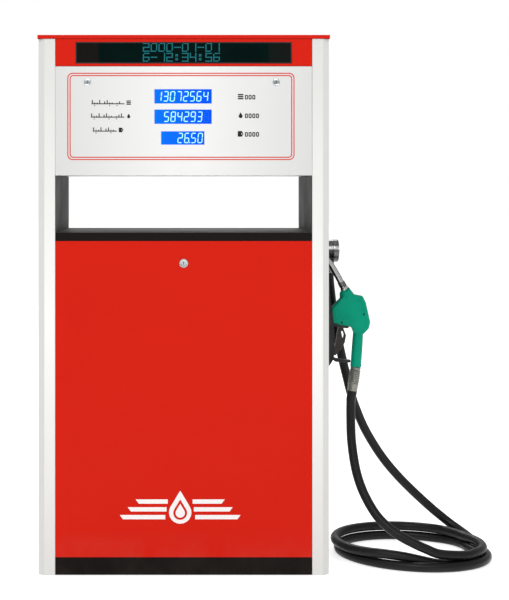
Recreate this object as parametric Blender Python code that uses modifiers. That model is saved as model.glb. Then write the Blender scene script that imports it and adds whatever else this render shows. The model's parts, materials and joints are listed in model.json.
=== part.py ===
"""A two-sided, single-hose fuel dispenser: sheet-metal cabinet, display head, pump unit, hose and nozzle.

Metres, +Z up. The origin is the centre of the cabinet's footprint on the floor. The front faces -Y,
and the hose hangs on the +X side. Everything that the rear shares with the front is the same piece
turned half round about Z.
"""

import math

import bmesh
import bpy
from mathutils import Matrix, Vector

# ---------------------------------------------------------------- driving dimensions
HEIGHT = 1.700
WIDTH = 0.916
DEPTH = 0.450
FRONT = -DEPTH / 2

FIT = 0.0003  # gap between pieces that touch
SHEET = 0.0015  # cabinet sheet metal
PLATE = 0.002

POST_INNER = 0.4043  # half the clear width between the posts
POST_DEPTH = 0.060
POST_WALL = 0.0025
CHAMFER_X = 0.020
CHAMFER_Y = 0.012

PANEL_HALF = 0.4037  # half width of doors, bands and plinths
PANEL_DEPTH = 0.020  # how far their folded edges reach in
SIDE_FACE = 0.4565  # outer face of the side panels
SIDE_HALF = 0.1645
SIDE_RETURN = 0.015

PLINTH_Z = (0.002, 0.0563)
LOWER_DOOR_Z = (0.0573, 1.0517)
SHELF_Z = (1.0525, 1.0788)
CHEEK_Z = (1.0791, 1.2575)
HEAD_FLOOR_Z = (1.2583, 1.2783)
HEAD_DOOR_Z = (1.2583, 1.6012)
HEADER_Z = (1.6024, 1.6882)
CAP_Z = (1.6885, HEIGHT)
CAP_HALF_X = 0.460
CAP_HALF_Y = 0.228

HEADER_WINDOW_HALF = 0.340
HEADER_WINDOW_Z = (1.6105, 1.6775)
WINDOW_CLEARANCE = 0.0005

# name, centre X, centre Z, width, height of each number window in a head door
DISPLAYS = (
    ("sale", -0.002, 1.507, 0.179, 0.044),
    ("volume", -0.002, 1.443, 0.179, 0.044),
    ("price", -0.003, 1.376, 0.135, 0.041),
)
DISPLAY_RECESS = 0.0008
DISPLAY_BACK = 0.0095
BOARD_THICKNESS = 0.0016

HEAD_LOCKS = (("left", -0.303), ("right", 0.291))
HEAD_LOCK_Z = 1.551
HEAD_LOCK_RADIUS = 0.011
DOOR_LOCK_Z = 0.982
DOOR_LOCK_RADIUS = 0.014
LOCK_BARREL_RATIO = 0.72

BOOT_HALF_Y = 0.048
BOOT_WALL = 0.0025
BOOT_BACK = 0.4055
BOOT_Z = (0.634, 1.046)

OUTLET_Y = 0.088
OUTLET_Z = 1.0095
OUTLET_RADIUS = 0.0345
OUTLET_END = 0.5235
HOSE_EXIT = (0.492, OUTLET_Y, 0.955)
OUTLET_PIPE_RADIUS = 0.014

NOZZLE_HALF_Y = 0.022
TRIGGER_PIVOT = (0.5225, 0.7735)
TRIGGER_HALF_Y = 0.007
PIN_RADIUS = 0.0025
PIN_CLEARANCE = 0.0004
STEM_X = 0.5385
STEM_RADIUS = 0.003
SPOUT_RADIUS = 0.0105
SPOUT_BORE = 0.0088
HANDLE_FOOT = (0.5715, 0.6255)  # centre of the handle's lower end, in X and Z
HOSE_START = (0.5590, 0.5395)  # where the swivel meets the hose, in X and Z

HOSE_RADIUS = 0.0150
HOSE_POINTS = 80
RING_CENTRE = (0.757, -0.003)
RING_HALF_X = 0.236
RING_HALF_Y = 0.190
RING_LEAN = 0.040  # how far the ring's front is pushed towards +X

MOTOR_CENTRE = (-0.230, 0.165)  # X and Z of its axis, which runs along Y
MOTOR_RADIUS = 0.085
PUMP_CENTRE = (0.060, 0.300)
MOTOR_PULLEY_RADIUS = 0.040
PUMP_PULLEY_RADIUS = 0.085
BELT_Y = -0.115
BELT_WIDTH = 0.016
BELT_THICKNESS = 0.008
METER_CENTRE = (0.200, 0.020)  # X and Y of its axis, which runs along Z
INLET_X = -0.095

ROUND = 20  # sides of a round piece
RED = (0.70, 0.022, 0.010)
WHITE = (0.80, 0.80, 0.78)
BLACK = (0.012, 0.011, 0.010)
STEEL = (0.45, 0.45, 0.44)
GREEN = (0.006, 0.32, 0.20)


# ---------------------------------------------------------------- scene and materials
def clear_scene():
    for thing in list(bpy.data.objects):
        bpy.data.objects.remove(thing, do_unlink=True)


def new_collection(name):
    collection = bpy.data.collections.new(name)
    bpy.context.scene.collection.children.link(collection)
    return collection


clear_scene()
PARTS = new_collection("fuel_dispenser")
WORK = new_collection("cutters")
FINISHES = {}


def finish(piece, colour, roughness=0.5, metallic=0.0):
    """Gives a piece its own Principled material and moves it to the parts' collection."""
    material = bpy.data.materials.new(piece.name)
    material.use_nodes = True
    shader = material.node_tree.nodes["Principled BSDF"]
    shader.inputs["Base Color"].default_value = (*colour, 1.0)
    shader.inputs["Roughness"].default_value = roughness
    shader.inputs["Metallic"].default_value = metallic
    piece.data.materials.clear()
    piece.data.materials.append(material)
    if WORK in piece.users_collection:
        WORK.objects.unlink(piece)
        PARTS.objects.link(piece)
    piece.display_type = "SOLID"
    piece.hide_render = False
    FINISHES[piece.name] = (colour, roughness, metallic)
    return piece


def working_object(name, data):
    """An object in the cutters' collection, until finish() makes it a piece."""
    piece = bpy.data.objects.new(name, data)
    WORK.objects.link(piece)
    piece.display_type = "WIRE"
    piece.hide_render = True
    return piece


# ---------------------------------------------------------------- shapes
def box(name, x, y, z):
    """A box between two values on each axis."""
    mesh = bpy.data.meshes.new(name)
    shape = bmesh.new()
    bmesh.ops.create_cube(shape, size=1.0)
    size = Matrix.Diagonal((x[1] - x[0], y[1] - y[0], z[1] - z[0], 1.0))
    centre = Matrix.Translation((sum(x) / 2, sum(y) / 2, sum(z) / 2))
    bmesh.ops.transform(shape, matrix=centre @ size, verts=shape.verts)
    shape.to_mesh(mesh)
    shape.free()
    return working_object(name, mesh)


def tray(name, x, y, z, open_side, wall=SHEET):
    """A folded sheet: a box without its open side, with its walls inside the box."""
    piece = box(name, x, y, z)
    shape = bmesh.new()
    shape.from_mesh(piece.data)
    shape.normal_update()
    opened = [face for face in shape.faces if face.normal.dot(Vector(open_side)) > 0.5]
    bmesh.ops.delete(shape, geom=opened, context="FACES_ONLY")
    shape.to_mesh(piece.data)
    shape.free()
    solid = piece.modifiers.new("sheet", "SOLIDIFY")
    solid.thickness = wall
    solid.offset = -1.0
    solid.use_even_offset = True
    return apply_modifiers(piece)


def front_tray(name, z):
    """A folded sheet across the front, from one post to the other, open towards the inside."""
    return tray(name, (-PANEL_HALF, PANEL_HALF), (FRONT, FRONT + PANEL_DEPTH), z, (0, 1, 0))


def apply_modifiers(piece):
    bpy.context.view_layer.update()
    graph = bpy.context.evaluated_depsgraph_get()
    mesh = bpy.data.meshes.new_from_object(piece.evaluated_get(graph))
    mesh.name = piece.name
    piece.modifiers.clear()
    piece.data = mesh
    return piece


def curve_to_mesh(piece, merge=0.00001):
    """Replaces a curve with its mesh, its caps welded on."""
    bpy.context.view_layer.update()
    graph = bpy.context.evaluated_depsgraph_get()
    mesh = bpy.data.meshes.new_from_object(piece.evaluated_get(graph))
    shape = bmesh.new()
    shape.from_mesh(mesh)
    bmesh.ops.remove_doubles(shape, verts=shape.verts, dist=merge)
    bmesh.ops.recalc_face_normals(shape, faces=shape.faces)
    shape.to_mesh(mesh)
    shape.free()
    name = piece.name
    place = piece.matrix_world.copy()
    bpy.data.objects.remove(piece)
    made = working_object(name, mesh)
    mesh.transform(place)
    return made


def add_loop(curve, points):
    loop = curve.splines.new("POLY")
    loop.points.add(len(points) - 1)
    for spot, (u, v) in zip(loop.points, points):
        spot.co = (u, v, 0.0, 1.0)
    loop.use_cyclic_u = True


def extrusion(name, outline, length, holes=(), matrix=None):
    """A flat outline with holes, extruded to both sides of its plane and then placed by matrix."""
    curve = bpy.data.curves.new(name, "CURVE")
    curve.dimensions = "2D"
    curve.fill_mode = "BOTH"
    curve.extrude = length / 2
    for points in (outline, *holes):
        add_loop(curve, points)
    piece = working_object(name, curve)
    piece.matrix_world = matrix or Matrix.Identity(4)
    return curve_to_mesh(piece)


def facing_front(y):
    """Places an outline drawn in X and Z at depth y."""
    return Matrix.Translation((0.0, y, 0.0)) @ Matrix.Rotation(math.radians(90), 4, "X")


def turned(name, profile, matrix=None, steps=ROUND):
    """A profile of (radius, height) points, top to bottom, turned about Z and placed by matrix."""
    mesh = bpy.data.meshes.new(name)
    points = [(radius, 0.0, height) for radius, height in profile]
    edges = [(n, n + 1) for n in range(len(points) - 1)]
    mesh.from_pydata(points, edges, [])
    piece = working_object(name, mesh)
    screw = piece.modifiers.new("turn", "SCREW")
    screw.steps = steps
    screw.render_steps = steps
    screw.use_merge_vertices = True
    screw.merge_threshold = 0.00001
    apply_modifiers(piece)
    piece.data.transform(matrix or Matrix.Identity(4))
    return piece


def rod(name, start, end, radius, steps=ROUND):
    """A plain cylinder between two points."""
    start = Vector(start)
    along = Vector(end) - start
    profile = [(0.0, along.length), (radius, along.length), (radius, 0.0), (0.0, 0.0)]
    return turned(name, profile, aimed(start, along), steps)


def aimed(start, along):
    """The matrix that puts local Z along a direction, from a start point."""
    turn = along.to_track_quat("Z", "Y").to_matrix().to_4x4()
    return Matrix.Translation(start) @ turn


def tube(name, points, radius, resolution=3):
    """A round bar along a list of points, with filled ends."""
    curve = bpy.data.curves.new(name, "CURVE")
    curve.dimensions = "3D"
    curve.bevel_depth = radius
    curve.bevel_resolution = resolution
    curve.use_fill_caps = True
    line = curve.splines.new("POLY")
    line.points.add(len(points) - 1)
    for spot, point in zip(line.points, points):
        spot.co = (*point, 1.0)
    return curve_to_mesh(working_object(name, curve))


def combine(piece, tool, operation):
    modifier = piece.modifiers.new("combine", "BOOLEAN")
    modifier.operation = operation
    modifier.solver = "EXACT"
    modifier.object = tool
    apply_modifiers(piece)
    bpy.data.objects.remove(tool)
    return piece


def cut(piece, *tools):
    for tool in tools:
        combine(piece, tool, "DIFFERENCE")
    return piece


def join(piece, *tools):
    for tool in tools:
        combine(piece, tool, "UNION")
    return piece


def round_edges(piece, width, segments=2, angle=30):
    bevel = piece.modifiers.new("round", "BEVEL")
    bevel.width = width
    bevel.segments = segments
    bevel.limit_method = "ANGLE"
    bevel.angle_limit = math.radians(angle)
    return apply_modifiers(piece)


def smooth(piece, angle=35):
    piece.data.shade_smooth()
    piece.data.set_sharp_from_angle(angle=math.radians(angle))
    return piece


def put_origin(piece, point):
    """Moves a piece's origin to a point, such as its joint's axis, without moving the piece."""
    piece.data.transform(Matrix.Translation(-Vector(point)))
    piece.location = point
    return piece


def rear_twin(piece, name):
    """The same piece on the rear: a copy turned half round about Z."""
    twin = bpy.data.objects.new(name, piece.data.copy())
    PARTS.objects.link(twin)
    x, y, z = piece.location
    twin.location = (-x, -y, z)
    twin.rotation_euler.z = math.pi
    return finish(twin, *FINISHES[piece.name])


def smooth_curve(points, count):
    """count evenly spaced points on a Catmull-Rom curve through all of the points."""
    route = [Vector(point) for point in points]
    route = [2 * route[0] - route[1], *route, 2 * route[-1] - route[-2]]
    steps = 24
    fine = []
    for n in range(1, len(route) - 2):
        before, start, end, after = route[n - 1 : n + 3]
        for step in range(steps):
            t = step / steps
            bend = 2 * before - 5 * start + 4 * end - after
            twist = 3 * (start - end) + after - before
            fine.append(start + 0.5 * t * (end - before + t * (bend + t * twist)))
    fine.append(route[-2])
    reach = [0.0]
    for one, two in zip(fine, fine[1:]):
        reach.append(reach[-1] + (two - one).length)
    even = []
    place = 0
    for n in range(count):
        target = reach[-1] * n / (count - 1)
        while place < len(fine) - 2 and reach[place + 1] < target:
            place += 1
        span = reach[place + 1] - reach[place]
        even.append(fine[place].lerp(fine[place + 1], (target - reach[place]) / span))
    return even


def bent_route(points, count):
    """A smooth route whose first and last stretches stay straight, so that its ends stay square."""
    return [points[0], *smooth_curve(points[1:-1], count), points[-1]]


# ---------------------------------------------------------------- cabinet structure
def base_frame():
    """The welded frame on the forecourt: a rim, three cross bars and four anchor holes."""
    half_x, half_y, height = 0.4035, 0.2045, 0.050
    bar = 0.045
    cross_bars = ((-0.290, -0.170), (-0.030, 0.030), (0.095, 0.155))
    frame = box("base_frame", (-half_x, half_x), (-half_y, half_y), (0.0, height))
    edges = [-half_x + bar]
    for low, high in cross_bars:
        edges += [low, high]
    edges.append(half_x - bar)
    for low, high in zip(edges[::2], edges[1::2]):
        window = box("window", (low, high), (-half_y + bar, half_y - bar), (-0.01, height + 0.01))
        cut(frame, window)
    hole_x, hole_y, hole_radius = 0.378, 0.180, 0.008
    for x in (-hole_x, hole_x):
        for y in (-hole_y, hole_y):
            cut(frame, rod("anchor", (x, y, -0.01), (x, y, height + 0.01), hole_radius, 12))
    return finish(frame, (0.05, 0.05, 0.05), 0.6, 0.3)


def plinths():
    plinth = front_tray("plinth_front", PLINTH_Z)
    finish(plinth, BLACK, 0.45)
    rear_twin(plinth, "plinth_rear")


def post_section(inset):
    """The chamfered section of the front right post, drawn inset inside its outer face."""
    outer = WIDTH / 2
    slope = inset * 0.4
    return [
        (POST_INNER + inset, FRONT + inset),
        (outer - CHAMFER_X - slope, FRONT + inset),
        (outer - inset, FRONT + CHAMFER_Y + slope),
        (outer - inset, FRONT + POST_DEPTH - inset),
        (POST_INNER + inset, FRONT + POST_DEPTH - inset),
    ]


def posts():
    """Four hollow corner posts. Each rear post is the front post across the diagonal, turned."""
    length = HEADER_Z[1]
    upright = Matrix.Translation((0, 0, length / 2))
    outline, bore = post_section(0.0), post_section(POST_WALL)
    right = extrusion("post_front_right", outline, length, [bore], upright)
    left = extrusion(
        "post_front_left",
        [(-x, y) for x, y in reversed(outline)],
        length,
        [[(-x, y) for x, y in reversed(bore)]],
        upright,
    )
    for post, twin in ((right, "post_rear_left"), (left, "post_rear_right")):
        finish(post, WHITE, 0.35)
        rear_twin(post, twin)


def side_panels():
    """Folded side sheets between the posts. The hose side is open for the boot and the outlet."""
    z = (0.010, 1.6852)
    y = (-SIDE_HALF, SIDE_HALF)
    x = (SIDE_FACE - SIDE_RETURN, SIDE_FACE)
    right = tray("side_panel_right", x, y, z, (-1, 0, 0))
    through = (SIDE_FACE - 2 * SHEET, SIDE_FACE + SHEET)
    slot_y = (-BOOT_HALF_Y - FIT, BOOT_HALF_Y + FIT)
    cut(right, box("boot_slot", through, slot_y, (BOOT_Z[0] - FIT, BOOT_Z[1] + FIT)))
    pipe = ((through[0], OUTLET_Y, OUTLET_Z), (through[1], OUTLET_Y, OUTLET_Z))
    cut(right, rod("outlet_hole", *pipe, OUTLET_PIPE_RADIUS + 0.002, 16))
    left = tray("side_panel_left", (-x[1], -x[0]), y, z, (1, 0, 0))
    for panel, side in ((right, 1), (left, -1)):
        slots = sorted((side * through[0], side * through[1]))
        for n in range(5):
            level = 0.140 + n * 0.022
            cut(panel, box("vent", slots, (-0.080, 0.080), (level, level + 0.006)))
        finish(panel, WHITE, 0.38)


def top_cap():
    cap = tray("top_cap", (-CAP_HALF_X, CAP_HALF_X), (-CAP_HALF_Y, CAP_HALF_Y), CAP_Z, (0, 0, -1))
    finish(cap, RED, 0.35)


def header():
    """The red band with its dark window, and the window's glass, on each side."""
    band = front_tray("header_band_front", HEADER_Z)
    half = HEADER_WINDOW_HALF + WINDOW_CLEARANCE
    low, high = HEADER_WINDOW_Z
    z = (low - WINDOW_CLEARANCE, high + WINDOW_CLEARANCE)
    cut(band, box("window", (-half, half), (FRONT - SHEET, FRONT + 2 * SHEET), z))
    finish(band, RED, 0.35)
    rear_twin(band, "header_band_rear")
    y = (FRONT + 0.0008, FRONT + 0.0050)
    glass = box("header_window_front", (-HEADER_WINDOW_HALF, HEADER_WINDOW_HALF), y, HEADER_WINDOW_Z)
    finish(glass, (0.004, 0.010, 0.010), 0.1)
    rear_twin(glass, "header_window_rear")


def opening_walls():
    """The shelf, the two cheeks and the head's floor, around the opening that goes right through."""
    x = (-PANEL_HALF, PANEL_HALF)
    shelf = tray("shelf_tray", x, (FRONT, -FRONT), SHELF_Z, (0, 0, -1), PLATE)
    finish(shelf, (0.06, 0.058, 0.055), 0.4)
    for side, sign in (("left", -1), ("right", 1)):
        edges = sorted((sign * PANEL_HALF, sign * (PANEL_HALF - PLATE)))
        cheek = box(f"cheek_{side}", edges, (FRONT + 0.0005, -FRONT - 0.0005), CHEEK_Z)
        finish(cheek, (0.07, 0.07, 0.065), 0.5)
    half_y = -FRONT - PANEL_DEPTH - 0.0005
    floor = tray("head_floor", x, (-half_y, half_y), HEAD_FLOOR_Z, (0, 0, 1), PLATE)
    finish(floor, STEEL, 0.5, 0.4)


# ---------------------------------------------------------------- doors, displays and locks
def lock(name, x, z, radius, cam):
    """A quarter-turn cam lock, its origin on its axis at the door's face."""
    barrel = radius * LOCK_BARREL_RATIO
    profile = [
        (0.0, 0.0025),
        (radius - 0.001, 0.0025),
        (radius, 0.0015),
        (radius, FIT),
        (barrel, FIT),
        (barrel, -0.019),
        (0.0, -0.019),
    ]
    piece = turned(name, profile, steps=16)
    cut(piece, box("keyway", (-0.001, 0.001), (-radius * 0.45, radius * 0.45), (0.0012, 0.004)))
    join(piece, box("cam", (-0.006, 0.006), (-barrel * 0.5, cam), (-0.0185, -0.0160)))
    smooth(piece)
    piece.data.transform(Matrix.Rotation(math.radians(90), 4, "X"))
    piece.location = (x, FRONT, z)
    return finish(piece, (0.62, 0.64, 0.65), 0.25, 1.0)


def lock_hole(x, z, radius):
    inside = radius * LOCK_BARREL_RATIO + FIT
    return rod("lock_hole", (x, FRONT - 0.005, z), (x, FRONT + 0.005, z), inside, 16)


def head_doors():
    """The display doors, hinged along their lower outer edge, with their number modules."""
    door = front_tray("head_door_front", HEAD_DOOR_Z)
    through = (FRONT - SHEET, FRONT + 2 * SHEET)
    for _, x, z, width, height in DISPLAYS:
        half_x = width / 2 + WINDOW_CLEARANCE
        half_z = height / 2 + WINDOW_CLEARANCE
        cut(door, box("window", (x - half_x, x + half_x), through, (z - half_z, z + half_z)))
    for _, x in HEAD_LOCKS:
        cut(door, lock_hole(x, HEAD_LOCK_Z, HEAD_LOCK_RADIUS))
    put_origin(door, (0.0, FRONT, HEAD_DOOR_Z[0]))
    finish(door, WHITE, 0.35)
    rear_twin(door, "head_door_rear")
    for title, x, z, width, height in DISPLAYS:
        y = (FRONT + DISPLAY_RECESS, FRONT + DISPLAY_BACK)
        spans = ((x - width / 2, x + width / 2), y, (z - height / 2, z + height / 2))
        display = finish(box(f"{title}_display_front", *spans), (0.0, 0.12, 0.85), 0.2)
        rear_twin(display, f"{title}_display_rear")
    y = (FRONT + DISPLAY_BACK + FIT, FRONT + DISPLAY_BACK + FIT + BOARD_THICKNESS)
    board = box("display_board_front", (-0.150, 0.146), y, (1.345, 1.537))
    finish(board, (0.01, 0.14, 0.05), 0.45)
    rear_twin(board, "display_board_rear")
    for side, x in HEAD_LOCKS:
        piece = lock(f"head_lock_front_{side}", x, HEAD_LOCK_Z, HEAD_LOCK_RADIUS, 0.026)
        rear_twin(piece, f"head_lock_rear_{side}")


def lower_doors():
    """The tall service panels, which tilt out about their lower outer edge."""
    door = front_tray("lower_door_front", LOWER_DOOR_Z)
    cut(door, lock_hole(0.0, DOOR_LOCK_Z, DOOR_LOCK_RADIUS))
    put_origin(door, (0.0, FRONT, LOWER_DOOR_Z[0]))
    finish(door, RED, 0.35)
    rear_twin(door, "lower_door_rear")
    piece = lock("door_lock_front", 0.0, DOOR_LOCK_Z, DOOR_LOCK_RADIUS, 0.040)
    rear_twin(piece, "door_lock_rear")


# ---------------------------------------------------------------- inside the head
def computer_box():
    """The closed case of the calculating unit, standing on the head's floor."""
    floor = HEAD_FLOOR_Z[0] + PLATE + FIT
    case = box("computer_box", (-0.160, 0.160), (-0.085, 0.085), (floor, floor + 0.180))
    for x in (-0.090, -0.030, 0.030, 0.090):
        gland = rod("gland", (x, 0.0, floor + 0.175), (x, 0.0, floor + 0.198), 0.011, 12)
        join(case, gland)
    finish(case, (0.30, 0.31, 0.32), 0.5, 0.5)


# ---------------------------------------------------------------- pump unit in the lower cabinet
def along_y(x, y, z):
    """Puts a turned piece's local Z along -Y, from a point."""
    return aimed(Vector((x, y, z)), Vector((0, -1, 0)))


def motor():
    """The drive motor: a finned barrel with end bells, a terminal box and a foot, bored for its shaft."""
    x, z = MOTOR_CENTRE
    rear, front = 0.130, -0.070
    length = rear - front
    barrel_radius, fins, fin_pitch = 0.078, 6, 0.024
    profile = [(0.0, length), (0.060, length), (0.075, length - 0.015)]
    for n in range(fins):
        top = length - 0.030 - n * fin_pitch
        profile += [(MOTOR_RADIUS, top), (MOTOR_RADIUS, top - 0.008)]
        profile += [(barrel_radius, top - 0.010), (barrel_radius, top - 0.020)]
    profile += [(0.070, 0.008), (0.050, 0.0), (0.0, 0.0)]
    body = turned("motor", profile, along_y(x, rear, z), 24)
    foot = box("foot", (x - 0.055, x + 0.055), (-0.027, 0.098), (0.050 + FIT, z - 0.050))
    terminal = box("terminal", (x - 0.041, x + 0.041), (-0.0115, 0.0825), (z + 0.060, z + 0.115))
    join(body, foot, terminal)
    bore = rod("bore", (x, front - 0.01, z), (x, front + 0.045, z), 0.0105, 16)
    finish(smooth(cut(body, bore)), (0.05, 0.09, 0.16), 0.45, 0.2)


def pulley(name, centre, radius, shaft_radius, shaft_end):
    """A grooved belt wheel with its shaft, whose end turns in the machine's bore."""
    x, z = centre
    half, rim, lip = 0.016, radius + 0.010, 0.004
    groove_half = BELT_WIDTH / 2 + 0.001
    profile = [
        (0.0, half),
        (rim, half),
        (rim, half - lip),
        (radius, groove_half),
        (radius, -groove_half),
        (rim, -half + lip),
        (rim, -half),
        (shaft_radius, -half),
        (shaft_radius, -(shaft_end - BELT_Y)),
        (0.0, -(shaft_end - BELT_Y)),
    ]
    wheel = turned(name, profile, along_y(x, BELT_Y, z), 28)
    for n in range(5):
        turn = math.radians(72 * n)
        reach = radius * 0.62
        hx, hz = x + reach * math.cos(turn), z + reach * math.sin(turn)
        hole = ((hx, BELT_Y - 0.03, hz), (hx, BELT_Y + 0.03, hz))
        cut(wheel, rod("lightening", *hole, radius * 0.19, 10))
    put_origin(smooth(wheel), (x, BELT_Y, z))
    return finish(wheel, (0.35, 0.35, 0.35), 0.4, 0.9)


def belt_loop(small, large, small_radius, large_radius, steps=12):
    """The outline of a belt round two wheels, counter-clockwise, whose flats clear both radii."""
    start, end = Vector(small), Vector(large)
    span = end - start
    heading = math.atan2(span.y, span.x)
    lean = math.asin((large_radius - small_radius) / span.length)
    points = []
    for centre, radius, middle, half in (
        (end, large_radius, heading, math.pi / 2 + lean),
        (start, small_radius, heading + math.pi, math.pi / 2 - lean),
    ):
        reach = radius / math.cos(half / steps)
        for n in range(steps + 1):
            turn = middle - half + 2 * half * n / steps
            points.append(tuple(centre + reach * Vector((math.cos(turn), math.sin(turn)))))
    return points


def drive_belt():
    sizes = (MOTOR_PULLEY_RADIUS + FIT * 2, PUMP_PULLEY_RADIUS + FIT * 2)
    inner = belt_loop(MOTOR_CENTRE, PUMP_CENTRE, *sizes)
    outer = belt_loop(MOTOR_CENTRE, PUMP_CENTRE, *(size + BELT_THICKNESS for size in sizes))
    belt = extrusion("drive_belt", outer, BELT_WIDTH, [inner], facing_front(BELT_Y))
    finish(belt, BLACK, 0.7)


def pump_body():
    """The pump, strainer and air separator in one casting on its pedestal, bored for the shaft."""
    x, z = PUMP_CENTRE
    body = box("pump_body", (x - 0.095, x + 0.095), (-0.060, 0.110), (0.190, 0.410))
    round_edges(body, 0.012, 1)
    pedestal = box("pedestal", (x - 0.075, x + 0.075), (-0.045, 0.095), (0.050 + FIT, 0.200))
    nose = rod("nose", (x, -0.080, z), (x, -0.050, z), 0.050)
    strainer = rod("strainer", (x + 0.060, 0.030, 0.400), (x + 0.060, 0.030, 0.440), 0.032)
    separator = rod("separator", (x - 0.040, 0.030, 0.400), (x - 0.040, 0.030, 0.470), 0.045)
    join(body, pedestal, nose, strainer, separator)
    cut(body, rod("bore", (x, -0.09, z), (x, -0.030, z), 0.0125, 16))
    finish(smooth(body), (0.32, 0.33, 0.34), 0.5, 0.7)


def flow_meter():
    """The four-piston meter: a drum with four cylinder covers and a port at each side."""
    x, y = METER_CENTRE
    low, high = 0.500, 0.600
    centre = (low + high) / 2
    body = rod("flow_meter", (x, y, low), (x, y, high), 0.058, 24)
    for dx, dy in ((1, 0), (0, 1), (-1, 0), (0, -1)):
        start = (x + dx * 0.030, y + dy * 0.030, centre)
        end = (x + dx * 0.088, y + dy * 0.088, centre)
        join(body, rod("cylinder", start, end, 0.036, 16))
    cut(body, rod("bore", (x, y, high - 0.030), (x, y, high + 0.010), 0.0085, 12))
    finish(smooth(body), (0.42, 0.43, 0.43), 0.45, 0.8)


def pulser():
    """The pulse encoder's turning disc and shaft, driven by the meter."""
    x, y = METER_CENTRE
    top, under, shaft_foot = 0.618, 0.606, 0.575
    disc_radius, shaft_radius, hole_ring = 0.034, 0.008, 0.023
    profile = [
        (0.0, top),
        (disc_radius, top),
        (disc_radius, under),
        (shaft_radius, under),
        (shaft_radius, shaft_foot),
        (0.0, shaft_foot),
    ]
    wheel = turned("pulser", profile, Matrix.Translation((x, y, 0.0)))
    for n in range(6):
        turn = math.radians(5 + 60 * n)
        hx, hy = x + hole_ring * math.cos(turn), y + hole_ring * math.sin(turn)
        cut(wheel, rod("hole", (hx, hy, under - 0.006), (hx, hy, top + 0.012), 0.005, 8))
    put_origin(smooth(wheel), (x, y, (top + under) / 2))
    finish(wheel, (0.02, 0.02, 0.022), 0.4)


def solenoid_valve():
    x, y = METER_CENTRE
    z = 0.550
    start = x + 0.088 + FIT
    valve = rod("solenoid_valve", (start, y, z), (start + 0.058, y, z), 0.024, 16)
    join(valve, rod("stem", (start + 0.029, y, z), (start + 0.029, y, z + 0.050), 0.016, 16))
    middle, half_x, half_y = start + 0.029, 0.024, 0.022
    spans = ((middle - half_x, middle + half_x), (y - half_y, y + half_y), (z + 0.045, z + 0.095))
    join(valve, box("coil", *spans))
    finish(smooth(valve), (0.55, 0.42, 0.16), 0.35, 0.8)


def pipes():
    """The suction pipe with its floor flange, the pump-to-meter pipe and the riser to the outlet."""
    pump_face = PUMP_CENTRE[0] - 0.095 - 2 * FIT
    suction = [
        (INLET_X, 0, 0.010),
        (INLET_X, 0, 0.080),
        (INLET_X, 0, 0.190),
        (-0.086, 0, 0.224),
        (-0.055, 0, 0.240),
        (pump_face, 0, 0.240),
    ]
    inlet = tube("inlet_pipe", bent_route(suction, 9), 0.017)
    flange = rod("flange", (INLET_X, 0, 0.002), (INLET_X, 0, 0.014), 0.042, 24)
    for n in range(4):
        turn = math.radians(45 + 90 * n)
        hx, hy = INLET_X + 0.030 * math.cos(turn), 0.030 * math.sin(turn)
        cut(flange, rod("bolt_hole", (hx, hy, -0.01), (hx, hy, 0.03), 0.0045, 8))
    join(flange, inlet)
    cut(flange, rod("bore", (INLET_X, 0, -0.01), (INLET_X, 0, 0.060), 0.0125, 12))
    flange.name = "inlet_pipe"
    finish(smooth(flange), (0.30, 0.30, 0.30), 0.5, 0.8)

    x, y = METER_CENTRE
    from_pump = (PUMP_CENTRE[0] - 0.040, 0.030, 0.470 + FIT)
    rise = [
        from_pump,
        (0.020, 0.030, 0.484),
        (0.034, 0.025, 0.526),
        (0.066, y, 0.548),
        (0.090, y, 0.550),
        (x - 0.088 - 2 * FIT, y, 0.550),
    ]
    finish(smooth(tube("meter_pipe", bent_route(rise, 10), 0.014)), (0.40, 0.40, 0.40), 0.45, 0.8)

    valve_end = x + 0.088 + 0.058 + 2 * FIT
    riser = [
        (valve_end + FIT, y, 0.550),
        (valve_end + 0.006, y, 0.550),
        (valve_end + 0.020, 0.024, 0.564),
        (0.371, 0.036, 0.600),
        (0.372, 0.066, 0.660),
        (0.372, OUTLET_Y, 0.740),
        (0.372, OUTLET_Y, 0.860),
        (0.372, OUTLET_Y, 0.970),
        (0.380, OUTLET_Y, 0.997),
        (0.393, OUTLET_Y, OUTLET_Z),
        (0.3990, OUTLET_Y, OUTLET_Z),
    ]
    finish(smooth(tube("riser_pipe", bent_route(riser, 22), 0.012)), (0.40, 0.40, 0.40), 0.45, 0.8)


# ---------------------------------------------------------------- hose side
def nozzle_boot():
    """The holster: an open-mouthed pocket let into the side panel, with cheeks that stand proud."""
    low, high = BOOT_Z
    outline = [
        (BOOT_BACK, low),
        (0.478, low),
        (0.4925, low + 0.034),
        (0.4925, 0.760),
        (0.482, 0.842),
        (0.470, 0.950),
        (0.462, high),
        (BOOT_BACK, high),
    ]
    boot = extrusion("nozzle_boot", outline, 2 * BOOT_HALF_Y, matrix=facing_front(0.0))
    inner = BOOT_HALF_Y - BOOT_WALL
    pocket = box("pocket", (BOOT_BACK + 0.003, 0.60), (-inner, inner), (low + 0.004, high - 0.0035))
    finish(cut(boot, pocket), BLACK, 0.55)


def boot_lever():
    """The flap that tells the computer whether the nozzle hangs in the boot."""
    lever = box("boot_switch_lever", (0.4145, 0.4185), (-0.014, 0.014), (0.700, 0.800))
    join(lever, rod("barrel", (0.4165, -0.018, 0.700), (0.4165, 0.018, 0.700), 0.0045, 12))
    put_origin(lever, (0.4165, 0.0, 0.700))
    finish(lever, (0.25, 0.25, 0.25), 0.4, 0.8)


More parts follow.
